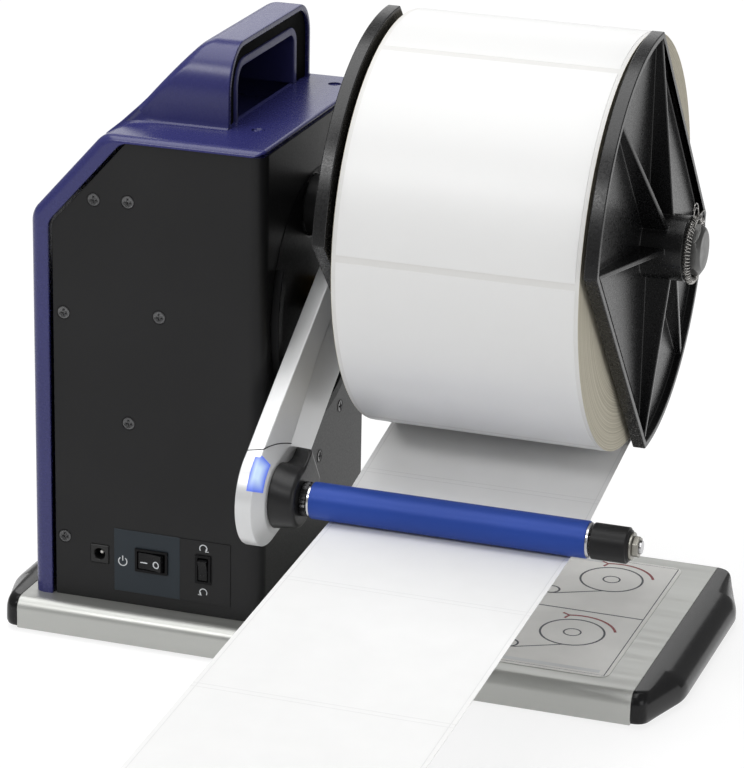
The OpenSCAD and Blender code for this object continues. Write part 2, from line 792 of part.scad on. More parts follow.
// Black disc on the right face with a raised ring, bored for the pivot and the collar
module pivot_disc() {
    color([0.05, 0.05, 0.05]) difference() {
        at_pivot() x_rod(tower_right, tower_right + disc_t, disc_r);
        at_pivot() x_rod(tower_right + disc_t / 2, tower_right + disc_t + cut, disc_r - disc_ring);
        at_pivot() x_rod(tower_right - cut, tower_right + disc_t + cut, bush_hole_r());
        at_spindle() x_rod(tower_right - cut, tower_right + disc_t + cut, collar_r + 2 * pass_gap);
        at_side_screws() rotate([0, 90, 0]) translate([0, 0, -cut])
            cylinder(r = screw_head_r + pass_gap, h = disc_t + 2 * cut);
    }
}

// Brass bush that carries the pivot shaft through both chassis walls
module pivot_bush() {
    r = pivot_r + 3;
    color([0.78, 0.6, 0.3]) at_pivot() difference() {
        union() {
            x_rod(wall2_x - 6, tower_right + disc_t, r);
            x_rod(wall1_x - 1, wall1_x + chassis_t + 4, r);
        }
        x_rod(wall1_x - 2, tower_right + disc_t + cut, pivot_r + run_fit);
    }
}

// Points on the torsion spring's wire
spring_rings = 16;
spring_sides = 6;
spring_r = (pivot_r + run_fit + spring_wire_r) / cos(180 / spring_rings);
spring_pitch = 2 * spring_wire_r + 0.7;
spring_x = gear_x - 1;
function spring_point(t) = [
    spring_x + spring_pitch * t, spring_r * cos(360 * t), spring_r * sin(360 * t)
];
spring_path = [for (i = [0 : spring_turns * spring_rings]) spring_point(i / spring_rings)];

// Ring of points round a path point, square to the way the wire runs
function wire_ring(path, i, r, sides) =
    let(a = path[max(i - 1, 0)], b = path[min(i + 1, len(path) - 1)])
    let(d = (b - a) / norm(b - a), u0 = cross(d, [0.9, 0.3, 0.3]), u = u0 / norm(u0), v = cross(d, u))
    [for (k = [0 : sides - 1]) path[i] + r * (cos(360 * k / sides) * u + sin(360 * k / sides) * v)];

// Tube of triangles swept along a path
module wire(path, r, sides) {
    n = len(path);
    points = [for (i = [0 : n - 1]) each wire_ring(path, i, r, sides)];
    walls = [
        for (i = [0 : n - 2]) for (k = [0 : sides - 1])
            let(a = i * sides + k, b = i * sides + (k + 1) % sides)
            each [[a, b, b + sides], [a, b + sides, a + sides]]
    ];
    ends = [
        for (k = [1 : sides - 2]) each [[0, k + 1, k],
            [(n - 1) * sides, (n - 1) * sides + k, (n - 1) * sides + k + 1]]
    ];
    polyhedron(points, concat(walls, ends));
}

// Least distance between two turns of the spring, less the wire itself
spring_gap = min([
    for (i = [0 : len(spring_path) - 1]) for (j = [i + 8 : 1 : len(spring_path) - 1])
        norm(spring_path[i] - spring_path[j])
]) - 2 * spring_wire_r;
echo(spring_gap = spring_gap);

// Torsion spring round the pivot shaft, between the chassis walls
module arm_spring() {
    color([0.75, 0.75, 0.76]) at_pivot() wire(spring_path, spring_wire_r, spring_sides);
}

// Angle sensor on the inner end of the pivot shaft
module angle_sensor() {
    color([0.12, 0.2, 0.45]) at_pivot() difference() {
        union() {
            x_rod(wall1_x - 11, wall1_x - 2, sensor_r);
            translate([wall1_x - 9, -4, -sensor_r - 6]) cube([2, 8, 8]);
        }
        x_rod(wall1_x - 7, wall1_x, pivot_r + run_fit);
    }
    color([0.12, 0.2, 0.45]) at_pivot() difference() {
        x_rod(wall1_x - 2, wall1_x, sensor_r);
        x_rod(wall1_x - 3, wall1_x + cut, bush_hole_r());
    }
}

overlay_t = 0.4;
overlay_split = 73.8;
overlay_left = 40.7;
overlay_edge = 15;

// Printed overlay in X and Z on the front, from the tower's left face
module overlay(x1, x2, hole_x, hole_w, hole_h) {
    z1 = plate_top + control_up - 17;
    z2 = plate_top + control_up + 14;
    difference() {
        xz_plate(panel_y - overlay_t, panel_y) translate([tower_x + x1, z1]) square([x2 - x1, z2 - z1]);
        control_hole(hole_x, hole_w - 2 * switch_lap, hole_h - 2 * switch_lap);
    }
}

// Blue-grey field round the power switch
module switch_overlay() {
    color([0.22, 0.25, 0.3]) overlay(overlay_left, overlay_split, power_x, power_w, power_h);
}

// Black field round the winding selector
module selector_overlay() {
    color([0.06, 0.06, 0.06]) overlay(overlay_split, tower_w - overlay_edge, selector_x, selector_w,
        selector_h);
}

// Round power socket with a square front
module power_socket() {
    r = jack_body_r();
    z = plate_top + control_up;
    color([0.04, 0.04, 0.04]) translate([tower_x + jack_x, 0, z]) difference() {
        union() {
            translate([-r, panel_y - 0.8, -r]) cube([2 * r, 0.8, 2 * r]);
            translate([0, panel_y, 0]) rotate([-90, 0, 0]) cylinder(r = r, h = 11);
        }
        translate([0, panel_y - 0.8 - cut, 0]) rotate([-90, 0, 0])
            cylinder(r = jack_bore_r, h = jack_seat + cut);
        translate([0, panel_y - cut, 0]) rotate([-90, 0, 0]) cylinder(r = jack_bore_r - 0.5, h = 8.2 + cut);
    }
    color([0.7, 0.7, 0.7]) translate([tower_x + jack_x, panel_y + jack_seat, z]) rotate([-90, 0, 0])
        cylinder(r = 1, h = 9 - jack_seat);
}

rocker_y = panel_y - overlay_t;
rocker_pin_r = 0.6;
rocker_pin_y = rocker_y + 1.4;
switch_lap = 0.5;
rocker_wall = 1.3;
rocker_gap = 0.45;

// Length of a rocker that fits its frame
function rocker_fit(size) = size - 2 * rocker_wall - 2 * rocker_gap;

// Fixed frame of a rocker switch, with its body behind the front
module switch_frame(x, w, h) {
    bezel = 1;
    depth = 12;
    neck = switch_lap + fixed_gap / 2;
    translate([tower_x + x, rocker_y, plate_top + control_up]) difference() {
        union() {
            translate([-w / 2, -bezel, -h / 2]) cube([w, bezel, h]);
            translate([-w / 2 + neck, 0, -h / 2 + neck]) cube([w - 2 * neck, depth, h - 2 * neck]);
        }
        translate([-w / 2 + rocker_wall, -bezel - cut, -h / 2 + rocker_wall])
            cube([w - 2 * rocker_wall, depth - 3 + bezel + cut, h - 2 * rocker_wall]);
    }
}

// Rocker with its pin's bore on local Y, its length along local X and its face towards local Z
module rocker(l, w) {
    half = l / 2;
    face = 3.6;
    rotate([90, 0, 0]) translate([0, 0, -w / 2]) linear_extrude(w) difference() {
        polygon([
            [-half, 1], [-half + 0.5, face - 0.4], [-half / 2, face - 0.9], [0, face - 1.1],
            [half / 2, face - 0.9], [half - 0.5, face - 0.4], [half, 1], [half / 2, -2], [-half / 2, -2]
        ]);
        circle(rocker_pin_r + run_fit);
    }
}

// Mains switch: fixed frame with a vertical pin, and the rocker that tips about it
module power_switch() {
    h = power_h - 2 * rocker_wall + cut;
    color([0.03, 0.03, 0.03]) {
        switch_frame(power_x, power_w, power_h);
        translate([tower_x + power_x, rocker_pin_y, plate_top + control_up - h / 2])
            cylinder(r = rocker_pin_r, h = h);
    }
}

module power_rocker() {
    color([0.05, 0.05, 0.05]) translate([tower_x + power_x, rocker_pin_y, plate_top + control_up])
        rotate([0, 0, -rocker_tilt]) rotate([90, 0, 0]) rocker(rocker_fit(power_w), rocker_fit(power_h));
}

// Winding selector: fixed frame with a level pin, and the rocker that tips about it
module selector_switch() {
    w = selector_w - 2 * rocker_wall + cut;
    color([0.03, 0.03, 0.03]) {
        switch_frame(selector_x, selector_w, selector_h);
        translate([tower_x + selector_x, rocker_pin_y, plate_top + control_up])
            x_rod(-w / 2, w / 2, rocker_pin_r);
    }
}

module selector_rocker() {
    color([0.05, 0.05, 0.05]) translate([tower_x + selector_x, rocker_pin_y, plate_top + control_up])
        rotate([rocker_tilt, 0, 0]) rotate([90, 0, 0]) rotate([0, 0, 90])
            rocker(rocker_fit(selector_h), rocker_fit(selector_w));
}

// Steel axle from the inner bearing out into the spindle bar
module spindle_axle() {
    color([0.7, 0.7, 0.72]) at_spindle() {
        x_rod(wall1_x - 6, bar_x + axle_grip, axle_r);
        x_rod(wall1_x + bearing_w + pass_gap, wall1_x + bearing_w + pass_gap + 1, axle_r + 1.5);
    }
}

// Large spur gear on the axle
module drive_gear() {
    bore = axle_r + fixed_gap / 2;
    color([0.9, 0.88, 0.82]) at_spindle() difference() {
        union() {
            yz_plate(gear_x, gear_w) gear_outline(gear_teeth, 0);
            x_rod(gear_x - 2, gear_x + gear_w + 3, axle_r + 5);
        }
        x_rod(gear_x - 2 - cut, gear_x + gear_w + 3 + cut, bore);
        for (a = [0 : 60 : 300]) rotate([a, 0, 0]) translate([0, 0, gear_m * gear_teeth / 3.2])
            x_rod(gear_x - cut, gear_x + gear_w + cut, gear_m * gear_teeth / 12);
    }
}

// Black collar that covers the axle between the tower and the inner flange
module spindle_collar() {
    color([0.06, 0.06, 0.06]) at_spindle() difference() {
        union() {
            x_rod(collar_x, bar_x - 3, collar_r);
            x_rod(bar_x - 3, bar_x, collar_r - 1.5);
        }
        x_rod(collar_x - cut, bar_x + cut, axle_r + fixed_gap / 2);
        translate([bar_x - 8, 0, collar_r - 4]) cylinder(r = screw_r, h = 5);
    }
}

// Hexagonal bar that carries the core and both flanges, bevelled at its free end
module spindle_bar() {
    color([0.2, 0.2, 0.2]) at_spindle() difference() {
        intersection() {
            x_hex(bar_x, bar_x2, hex_r);
            union() {
                x_rod(bar_x - cut, bar_x2 - bar_bevel, hex_r + cut);
                translate([bar_x2 - bar_bevel, 0, 0]) rotate([0, 90, 0])
                    cylinder(r1 = hex_r, r2 = hex_r - 1.6 * bar_bevel, h = bar_bevel);
            }
        }
        x_rod(bar_x - cut, bar_x + axle_grip + fixed_gap, axle_r + fixed_gap / 2);
    }
}

// Plastic sleeve that centres the cardboard core on the bar
module core_holder() {
    r = core_r - core_t - fixed_gap;
    color([0.08, 0.08, 0.08]) at_spindle() difference() {
        x_rod(roll_x + 2, roll_x + web_w - 2, r);
        x_hex(roll_x + 2 - cut, roll_x + web_w - 2 + cut, hex_r + fixed_gap);
        for (a = [30 : 60 : 330]) rotate([a, 0, 0]) translate([0, 0, r])
            x_rod(roll_x + 2 - cut, roll_x + web_w - 2 + cut, 2.2);
    }
}

// Outline of a flange in Y and Z: a disc with two straight sides, drawn in by a margin
module flange_outline(margin) {
    intersection() {
        circle(flange_r - margin, $fn = 128);
        rotate(flange_turn) square([2 * (flange_flat - margin), 2 * flange_r], center = true);
    }
}

// Directions of the ribs, from straight up towards the front
corner_half = acos(flange_flat / flange_r);
rib_turns = [
    for (s = [0, 180]) for (k = [-1, 0, 1]) s + flange_turn + k * (90 - corner_half)
];

// Flange with its flat side at X = 0 and its ribbed side towards +X
module flange() {
    root = flange_t / 2;
    reach = flange_r - rim_t / 2;
    rib = [[root, 0], [rib_h, 0], [rib_h, hub_r + 1], [rim_h - 0.8, reach], [root, reach]];
    difference() {
        union() {
            difference() {
                yz_plate(0, rim_h) flange_outline(0);
                yz_plate(flange_t, rim_h) flange_outline(rim_t);
            }
            x_rod(root, hub_h, hub_r);
            for (turn = rib_turns) rotate([turn, 0, 0]) translate([0, rib_t / 2, 0]) rotate([90, 0, 0])
                linear_extrude(rib_t) polygon(rib);
        }
        x_hex(-cut, hub_h + cut, hex_r + fixed_gap);
    }
}

// Two flanges of one pattern, the inner one turned to face the outer
module inner_flange() {
    color([0.07, 0.07, 0.07]) at_spindle() translate([inner_face_x, 0, 0]) mirror([1, 0, 0]) flange();
}

module outer_flange() {
    color([0.07, 0.07, 0.07]) at_spindle() translate([outer_face_x, 0, 0]) flange();
}

// Coil of the spring that runs round the bar against the outer hub, with an eye at each end
clip_ring_r = hex_r + fixed_gap + clip_coil_r + clip_wire_r;
clip_x = hub_h + fixed_gap + clip_coil_r + clip_wire_r;
clip_open = 11;
clip_steps = 6;
clip_eye_r = 2.4;
clip_eye_steps = 10;
function clip_at(x, a, r) = [x, -r * sin(a), r * cos(a)];
function clip_coil(t) = clip_at(
    clip_x + clip_coil_r * sin(360 * clip_turns * t),
    clip_open + (360 - 2 * clip_open) * t,
    clip_ring_r + clip_coil_r * cos(360 * clip_turns * t)
);
function clip_eye(side, t) =
    let(mid = clip_at(clip_x, side * clip_open, clip_ring_r + clip_coil_r + clip_eye_r))
    let(turn = 180 + side * (clip_open - 330 * t))
    mid + [side * 1.6 * t, -clip_eye_r * sin(turn), clip_eye_r * cos(turn)];
clip_path = concat(
    [clip_eye(1, 1) + [3, -1, 4]],
    [for (i = [clip_eye_steps : -1 : 1]) clip_eye(1, i / clip_eye_steps)],
    [for (i = [0 : clip_turns * clip_steps]) clip_coil(i / (clip_turns * clip_steps))],
    [for (i = [1 : clip_eye_steps]) clip_eye(-1, i / clip_eye_steps)]
);

// Least distance between two stretches of the clip's wire, less the wire itself
clip_gap = min([
    for (i = [0 : len(clip_path) - 1]) for (j = [i + 4 : 1 : len(clip_path) - 1])
        norm(clip_path[i] - clip_path[j])
]) - 2 * clip_wire_r;
echo(clip_gap = clip_gap);

// Coiled spring that keeps the outer flange on the bar
module flange_clip() {
    color([0.78, 0.78, 0.78]) at_spindle() translate([outer_face_x, 0, 0]) wire(clip_path, clip_wire_r, 4);
}

// Cardboard core of the wound labels
module core_tube() {
    color([0.62, 0.48, 0.33]) at_spindle() difference() {
        x_rod(roll_x, roll_x + web_w, core_r);
        x_rod(roll_x - cut, roll_x + web_w + cut, core_r - core_t);
    }
}

// Wound roll of label stock
module label_roll() {
    color([0.95, 0.95, 0.93]) at_spindle() difference() {
        x_rod(roll_x, roll_x + web_w, roll_r);
        x_rod(roll_x - cut, roll_x + web_w + cut, core_r + fixed_gap / 2);
    }
}

// Web path in Y and Z, as points with the way of the outer normal
function polar(a) = [sin(a), -cos(a)];
web_arc_steps = 8;
web_front_y = roller_y - web_reach;
web_exit = [roller_y, roller_z] + wrap_roller * polar(-web_slope);
web_front = [web_front_y, web_exit[1] - (web_exit[0] - web_front_y) * tan(web_slope)];
web_drop = web_front[1] - web_t - web_gap;
web_bend = acos((1 + cos(web_slope) - web_drop / web_curl_r) / 2);
curl_centre = web_front + web_curl_r * [sin(web_slope), -cos(web_slope)];
land_centre = curl_centre + 2 * web_curl_r * [-sin(web_bend), cos(web_bend)];

// Points of the web's upper side, from the roll to the table, and of its lower side
function web_side(off) = concat(
    [[spindle_y, spindle_z] + (wrap_roll + off) * polar(web_angle)],
    [for (i = [0 : web_arc_steps]) [roller_y,
        roller_z] + (wrap_roller + off) * polar(web_angle - (web_angle + web_slope) * i / web_arc_steps)],
    [
        for (i = [0 : web_arc_steps])
            let(a = web_slope + (web_bend - web_slope) * i / web_arc_steps)
            curl_centre - (web_curl_r - off) * polar(a)
    ],
    [
        for (i = [0 : web_arc_steps])
            land_centre + (web_curl_r + off) * polar(web_bend * (1 - i / web_arc_steps))
    ],
    [land_centre + [-web_tail, -(web_curl_r + off)]]
);

function reversed(v) = [for (i = [len(v) - 1 : -1 : 0]) v[i]];

// Label web: off the roll, under the roller and forward to the table
module label_web() {
    color([0.95, 0.95, 0.94]) yz_plate(roll_x, web_w)
        polygon(concat(web_side(0), reversed(web_side(web_t))));
}

// Outline of the arm in Y and Z, from the pivot to the roller, drawn in by a margin
module arm_outline(margin) {
    hull() {
        translate([pivot_y, pivot_z]) circle(arm_pivot_r - margin);
        translate([roller_y, roller_z]) circle(arm_r - margin);
    }
}

arm_rise = 4;
arm_bevel = 6.5;
light_back = 2.5;
light_from = 150;
light_to = 205;
light_depth = 4;

// Sector of the arm's rim in Y and Z that the light fills
module light_sector(margin) {
    turn = 90 - arm_rest;
    translate([roller_y, roller_z]) rotate(turn) intersection() {
        difference() {
            circle(arm_r + cut);
            circle(arm_r - light_depth - margin);
        }
        polygon(concat([[0, 0]], [
            for (i = [0 : 6])
                let(a = light_from - 90 - margin + (light_to - light_from + 2 * margin) * i / 6)
                (arm_r + 4) * [cos(a), sin(a)]
        ]));
    }
}

// Outer form of the arm: a straight rim, then a broad bevel up to its outer face
module arm_form() {
    hull() {
        yz_plate(arm_x + arm_back_t, arm_t - arm_back_t - arm_rise) arm_outline(0);
        yz_plate(arm_x + arm_back_t, arm_t - arm_back_t) arm_outline(arm_bevel);
    }
}

// Silver shell of the arm, hollow towards the tower
module arm_shell() {
    color([0.75, 0.76, 0.77]) difference() {
        arm_form();
        difference() {
            yz_plate(arm_x + arm_back_t - cut, arm_t - arm_back_t - arm_wall + cut)
                arm_outline(arm_wall + light_depth);
            at_pivot() x_rod(arm_x, arm_x2, pivot_r + 5);
            at_roller() x_rod(arm_x, arm_x2, roller_shaft_r + 5);
        }
        at_pivot() x_rod(arm_x - cut, arm_x2 - arm_wall, pivot_r + fixed_gap / 2);
        at_roller() x_rod(arm_x - cut, arm_x2 + cut, roller_shaft_r + fixed_gap / 2);
        yz_plate(arm_x + arm_back_t - cut, arm_t - arm_back_t - light_back + cut + fixed_gap)
            light_sector(fixed_gap);
    }
}

// Silver back plate on the side of the arm that faces the tower
module arm_back() {
    color([0.75, 0.76, 0.77]) difference() {
        yz_plate(arm_x, arm_back_t) arm_outline(0.4);
        at_pivot() x_rod(arm_x - cut, arm_x + arm_back_t + cut, pivot_r + fixed_gap / 2);
        at_roller() x_rod(arm_x - cut, arm_x + arm_back_t + cut, roller_shaft_r + fixed_gap / 2);
    }
}

// Blue status light set into the rim of the arm
module arm_light() {
    color([0.35, 0.6, 1]) intersection() {
        yz_plate(arm_x + arm_back_t + fixed_gap, arm_t - arm_back_t - light_back - fixed_gap)
            light_sector(0);
        arm_form();
    }
}

// Steel pivot shaft, fixed in the arm and turning in the brass bush
module pivot_shaft() {
    color([0.7, 0.7, 0.72]) at_pivot() {
        x_rod(wall1_x - 6, arm_x2 - arm_wall - fixed_gap, pivot_r);
        x_rod(tower_right + disc_t + pass_gap / 2, arm_x, pivot_r + 2);
    }
}

lobe_r = 8.5;
lobe_at = 17;
lobe_lean = 8;
neck_r = 6;

// Outline of the hub cover in Y and Z: a disc with a tongue up the arm and round necks between
module hub_outline(margin) {
    translate([roller_y, roller_z]) rotate(arm_rest - lobe_lean) offset(delta = -margin)
        offset(r = -neck_r) offset(delta = neck_r) {
            circle(hub_cover_r);
            translate([0, -lobe_r]) square([lobe_at, 2 * lobe_r]);
            translate([lobe_at, 0]) circle(lobe_r);
        }
}

// Black cover over the roller's end of the arm, with a lobe up the arm
module hub_cover() {
    color([0.12, 0.12, 0.12]) difference() {
        union() {
            yz_plate(arm_x2, hub_cover_t - 1.6) hub_outline(0);
            yz_plate(arm_x2, hub_cover_t - 0.7) hub_outline(0.6);
            yz_plate(arm_x2, hub_cover_t) hub_outline(1.8);
        }
        at_roller() x_rod(arm_x2 - cut, hub_x2 + cut, roller_shaft_r + fixed_gap / 2);
    }
}

// Steel shaft from the arm through the roller
module roller_shaft() {
    color([0.75, 0.75, 0.76]) at_roller()
        x_rod(arm_x + arm_back_t, sleeve_x2 + washer_t + nut_t + 1, roller_shaft_r);
}

// Blue roller tube
module roller_tube() {
    color([0.1, 0.2, 0.6]) at_roller() difference() {
        x_rod(roller_x, roller_x2, roller_r);
        x_rod(roller_x - cut, roller_x2 + cut, bush_r);
    }
}

// Two metal bushes in the ends of the roller
module roller_bushes() {
    depth = 10;
    color([0.8, 0.8, 0.82]) at_roller() for (side = [0, 1]) difference() {
        union() {
            x_rod(side == 0 ? bush_x : roller_x2, side == 0 ? roller_x : roller_x2 + bush_rim,
                roller_r - 0.6);
            x_rod(side == 0 ? bush_x : roller_x2 - depth,
                side == 0 ? roller_x + depth : roller_x2 + bush_rim, bush_r - fixed_gap / 2);
        }
        x_rod(bush_x - cut, roller_x2 + bush_rim + cut, roller_shaft_r + run_fit);
    }
}

// Black sleeve, washer and nut at the free end of the roller shaft
module end_sleeve() {
    color([0.05, 0.05, 0.05]) at_roller() difference() {
        union() {
            x_rod(sleeve_x, sleeve_x2 - 1, roller_r - 0.3);
            x_rod(sleeve_x, sleeve_x2, roller_r - 1.3);
        }
        x_rod(sleeve_x - cut, sleeve_x2 + cut, roller_shaft_r + fixed_gap / 2);
    }
}

module end_washer() {
    color([0.85, 0.85, 0.86]) at_roller() difference() {
        x_rod(sleeve_x2, sleeve_x2 + washer_t, roller_r - 2.2);
        x_rod(sleeve_x2 - cut, sleeve_x2 + washer_t + cut, roller_shaft_r + fixed_gap / 2);
    }
}

module end_nut() {
    color([0.85, 0.85, 0.86]) at_roller() difference() {
        x_hex(sleeve_x2 + washer_t, sleeve_x2 + washer_t + nut_t, roller_shaft_r + 2);
        x_rod(sleeve_x2, sleeve_x2 + washer_t + nut_t + cut, roller_shaft_r + fixed_gap / 2);
    }
}

base_plate();
left_end_cap();
right_end_cap();
rubber_strips();
threading_guide();
front_cover();
rear_panel();
side_cover();
carry_handle();
grip_liner();
panel_bracket();
chassis();
chassis_screws();
panel_screws();
cover_screws();
spindle_bearings();
drive_motor();
motor_pinion();
circuit_board();
pivot_disc();
pivot_bush();
arm_spring();
angle_sensor();
switch_overlay();
selector_overlay();
power_socket();
power_switch();
power_rocker();
selector_switch();
selector_rocker();
spindle_axle();
drive_gear();
spindle_collar();
spindle_bar();
core_holder();
inner_flange();
outer_flange();
flange_clip();
core_tube();
label_roll();
label_web();
arm_shell();
arm_back();
arm_light();
pivot_shaft();
hub_cover();
roller_shaft();
roller_tube();
roller_bushes();
end_sleeve();
end_washer();
end_nut();
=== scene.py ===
import math

import bmesh
import bpy
import numpy as np
from mathutils import Matrix, Vector


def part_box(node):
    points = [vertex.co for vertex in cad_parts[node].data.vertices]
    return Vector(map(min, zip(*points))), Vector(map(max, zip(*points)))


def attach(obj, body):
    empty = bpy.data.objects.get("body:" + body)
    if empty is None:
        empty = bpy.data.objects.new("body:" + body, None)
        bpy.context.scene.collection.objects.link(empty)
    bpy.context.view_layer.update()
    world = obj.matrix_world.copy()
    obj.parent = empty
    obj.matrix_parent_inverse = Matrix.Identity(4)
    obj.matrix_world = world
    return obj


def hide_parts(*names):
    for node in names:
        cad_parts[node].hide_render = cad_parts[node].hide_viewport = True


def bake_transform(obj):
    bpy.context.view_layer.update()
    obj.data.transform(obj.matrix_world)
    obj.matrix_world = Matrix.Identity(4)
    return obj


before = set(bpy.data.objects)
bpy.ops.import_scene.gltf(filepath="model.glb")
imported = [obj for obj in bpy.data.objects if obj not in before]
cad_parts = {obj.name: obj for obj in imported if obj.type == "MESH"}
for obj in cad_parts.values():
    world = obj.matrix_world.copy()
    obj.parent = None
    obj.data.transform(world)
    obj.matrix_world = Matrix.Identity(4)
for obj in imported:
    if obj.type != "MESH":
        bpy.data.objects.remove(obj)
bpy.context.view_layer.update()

# Studio: a white table top under a soft overhead box, with fills in front, at the side and behind.
# The table is lit like the part, and only lifted towards white where the camera or a
# reflection looks at it, so that the soft shadow under the base stays.
MM = 0.001
TABLE_LIFT = 0.75
scene = bpy.context.scene
scene.view_settings.view_transform = "Standard"


def put(name, data):
    """New object in the scene."""
    obj = bpy.data.objects.new(name, data)
    scene.collection.objects.link(obj)
    return obj


def studio_camera():
    """Long lens at the height and side from which the machine is seen."""
    target = Vector((4.7, -22.5, 125.1)) * MM
    distance = 1.6296
    azimuth, elevation, roll = (math.radians(a) for a in (18.85, 19.48, 1.09))
    back = Vector((
        math.sin(azimuth) * math.cos(elevation),
        -math.cos(azimuth) * math.cos(elevation),
        math.sin(elevation),
    ))
    right = Vector((math.cos(azimuth), math.sin(azimuth), 0))
    up = back.cross(right)
    turned_right = right * math.cos(roll) + up * math.sin(roll)
    turned_up = up * math.cos(roll) - right * math.sin(roll)
    data = bpy.data.cameras.new("studio_camera")
    data.sensor_fit = "VERTICAL"
    data.sensor_height = 36
    data.lens = 164.95
    camera = put("studio_camera", data)
    place = Matrix((turned_right, turned_up, back)).transposed().to_4x4()
    place.translation = target + back * distance
    camera.matrix_world = place
    scene.camera = camera


def soft_box(name, at, aim, size, power):
    """Rectangular area lamp aimed at a point."""
    data = bpy.data.lights.new(name, "AREA")
    data.shape = "RECTANGLE"
    data.size, data.size_y = size
    data.energy = power
    lamp = put(name, data)
    lamp.location = at
    lamp.rotation_euler = (Vector(aim) - Vector(at)).to_track_quat("-Z", "Y").to_euler()


def feed(tree, node, inputs):
    """Set a node's inputs, by name or number, to values or to the sockets of other nodes."""
    for key, value in inputs.items():
        if isinstance(value, bpy.types.NodeSocket):
            tree.links.new(value, node.inputs[key])
        else:
            node.inputs[key].default_value = value


def add_node(tree, kind, inputs=None, **settings):
    """New node with its settings made and its inputs fed."""
    node = tree.nodes.new(kind)
    for key, value in settings.items():
        setattr(node, key, value)
    feed(tree, node, inputs or {})
    return node


def reckon(tree, operation, *values):
    """Result of a math node on numbers or sockets."""
    return add_node(tree, "ShaderNodeMath", dict(enumerate(values)), operation=operation).outputs[0]


def new_material(name):
    """Plain material with its node tree and its shader."""
    mat = bpy.data.materials.new(name)
    mat.use_nodes = True
    return mat, mat.node_tree, mat.node_tree.nodes["Principled BSDF"]


def seen_directly(tree):
    """1 for camera, glossy and transmission rays, 0 for the rays that light the part."""
    rays = add_node(tree, "ShaderNodeLightPath").outputs
    either = reckon(tree, "MAXIMUM", rays["Is Camera Ray"], rays["Is Glossy Ray"])
    return reckon(tree, "MAXIMUM", either, rays["Is Transmission Ray"])


studio_camera()
soft_box("overhead_box", (-0.3, -0.05, 1.62), (0, 0, 0.12), (1.5, 1.3), 20)
soft_box("front_fill", (-0.74, -1.58, 1.5), (0, 0, 0.16), (1.1, 0.38), 12.5)
soft_box("side_fill", (1.7, -0.9, 0.55), (0, 0, 0.15), (0.9, 0.9), 5)
soft_box("rear_fill", (-0.4, 1.6, 0.85), (0, 0, 0.15), (1.5, 0.9), 4.5)

world = bpy.data.worlds.new("studio_room")
scene.world = world
world.use_nodes = True
feed(world.node_tree, world.node_tree.nodes["Background"], {"Color": (1, 1, 1, 1), "Strength": 0.3})

bpy.ops.mesh.primitive_plane_add(size=14)
table_top = bpy.context.object
table_top.name = "table_top"
table_white, tree, paint = new_material("table_white")
feed(tree, paint, {"Base Color": (0.9, 0.9, 0.9, 1), "Roughness": 0.9, "Specular IOR Level": 0.1})
glow = add_node(tree, "ShaderNodeEmission", {"Color": (1, 1, 1, 1), "Strength": 1.1})
lift = reckon(tree, "MULTIPLY", seen_directly(tree), TABLE_LIFT)
lifted = add_node(tree, "ShaderNodeMixShader", {"Fac": lift, 1: paint.outputs[0], 2: glow.outputs[0]})
feed(tree, tree.nodes["Material Output"], {"Surface": lifted.outputs[0]})
table_top.data.materials.append(table_white)

# Base plate: an aluminium extrusion, anodised silver with a fine satin grain along its length.
# Its long top edges are round and its ends are sawn square and hidden by the end caps.
# Vertices closer than this, in metres, become one
MERGE = 2e-6


def ramp(tree, value, low, high):
    """Colour that runs with a value from one (position, colour) stop to another."""
    node = add_node(tree, "ShaderNodeValToRGB", {"Fac": value})
    for stop, (position, colour) in zip(node.color_ramp.elements, (low, high)):
        stop.position = position
        stop.color = (*colour, 1)
    return node.outputs["Color"]


def surface(name, colour, rough, metallic=0.0, specular=0.5, grain=700.0, depth=0.02,
            stretch=(1, 1, 1), mottle=0.08, patch=16.0, uneven=0.05):
    """Finish with a cloudy tint, an uneven gloss and a fine relief, all in object space."""
    mat, tree, shader = new_material(name)
    place = add_node(tree, "ShaderNodeTexCoord").outputs["Object"]
    place = add_node(tree, "ShaderNodeMapping", {"Vector": place, "Scale": stretch}).outputs["Vector"]
    cloud = add_node(tree, "ShaderNodeTexNoise", {"Vector": place, "Scale": patch, "Detail": 4})
    fine = add_node(tree, "ShaderNodeTexNoise", {"Vector": place, "Scale": grain, "Detail": 3})
    dark = [c * (1 - mottle) for c in colour]
    light = [min(1, c * (1 + mottle)) for c in colour]
    gloss = add_node(tree, "ShaderNodeMapRange", {
        "Value": fine.outputs["Fac"], "From Min": 0.3, "From Max": 0.7,
        "To Min": max(0.02, rough - uneven), "To Max": min(1, rough + uneven),
    })
    relief = add_node(tree, "ShaderNodeBump", {
        "Height": fine.outputs["Fac"], "Strength": 0.3, "Distance": depth * MM,
    })
    feed(tree, shader, {
        "Base Color": ramp(tree, cloud.outputs["Fac"], (0.3, dark), (0.7, light)),
        "Metallic": metallic, "Specular IOR Level": specular,
        "Roughness": gloss.outputs["Result"], "Normal": relief.outputs["Normal"],
    })
    return mat


def bake(obj):
    """Put the evaluated mesh in the place of the mesh and its modifiers."""
    graph = bpy.context.evaluated_depsgraph_get()
    obj.data = bpy.data.meshes.new_from_object(obj.evaluated_get(graph))
    obj.modifiers.clear()


def settle(obj, angle=32):
    """Turn a piece and its modifiers into one plain mesh, smooth but for its hard edges."""
    bake(obj)
    obj.data.shade_smooth()
    obj.data.set_sharp_from_angle(angle=math.radians(angle))
    obj.modifiers.new("flat_faces_lead", "WEIGHTED_NORMAL").keep_sharp = True
    bake(obj)
    obj.data.name = obj.name
    return obj


def from_bmesh(name, bm, mat):
    """New object in the scene from a finished bmesh."""
    mesh = bpy.data.meshes.new(name)
    bm.to_mesh(mesh)
    bm.free()
    if mat is not None:
        mesh.materials.append(mat)
    return put(name, mesh)


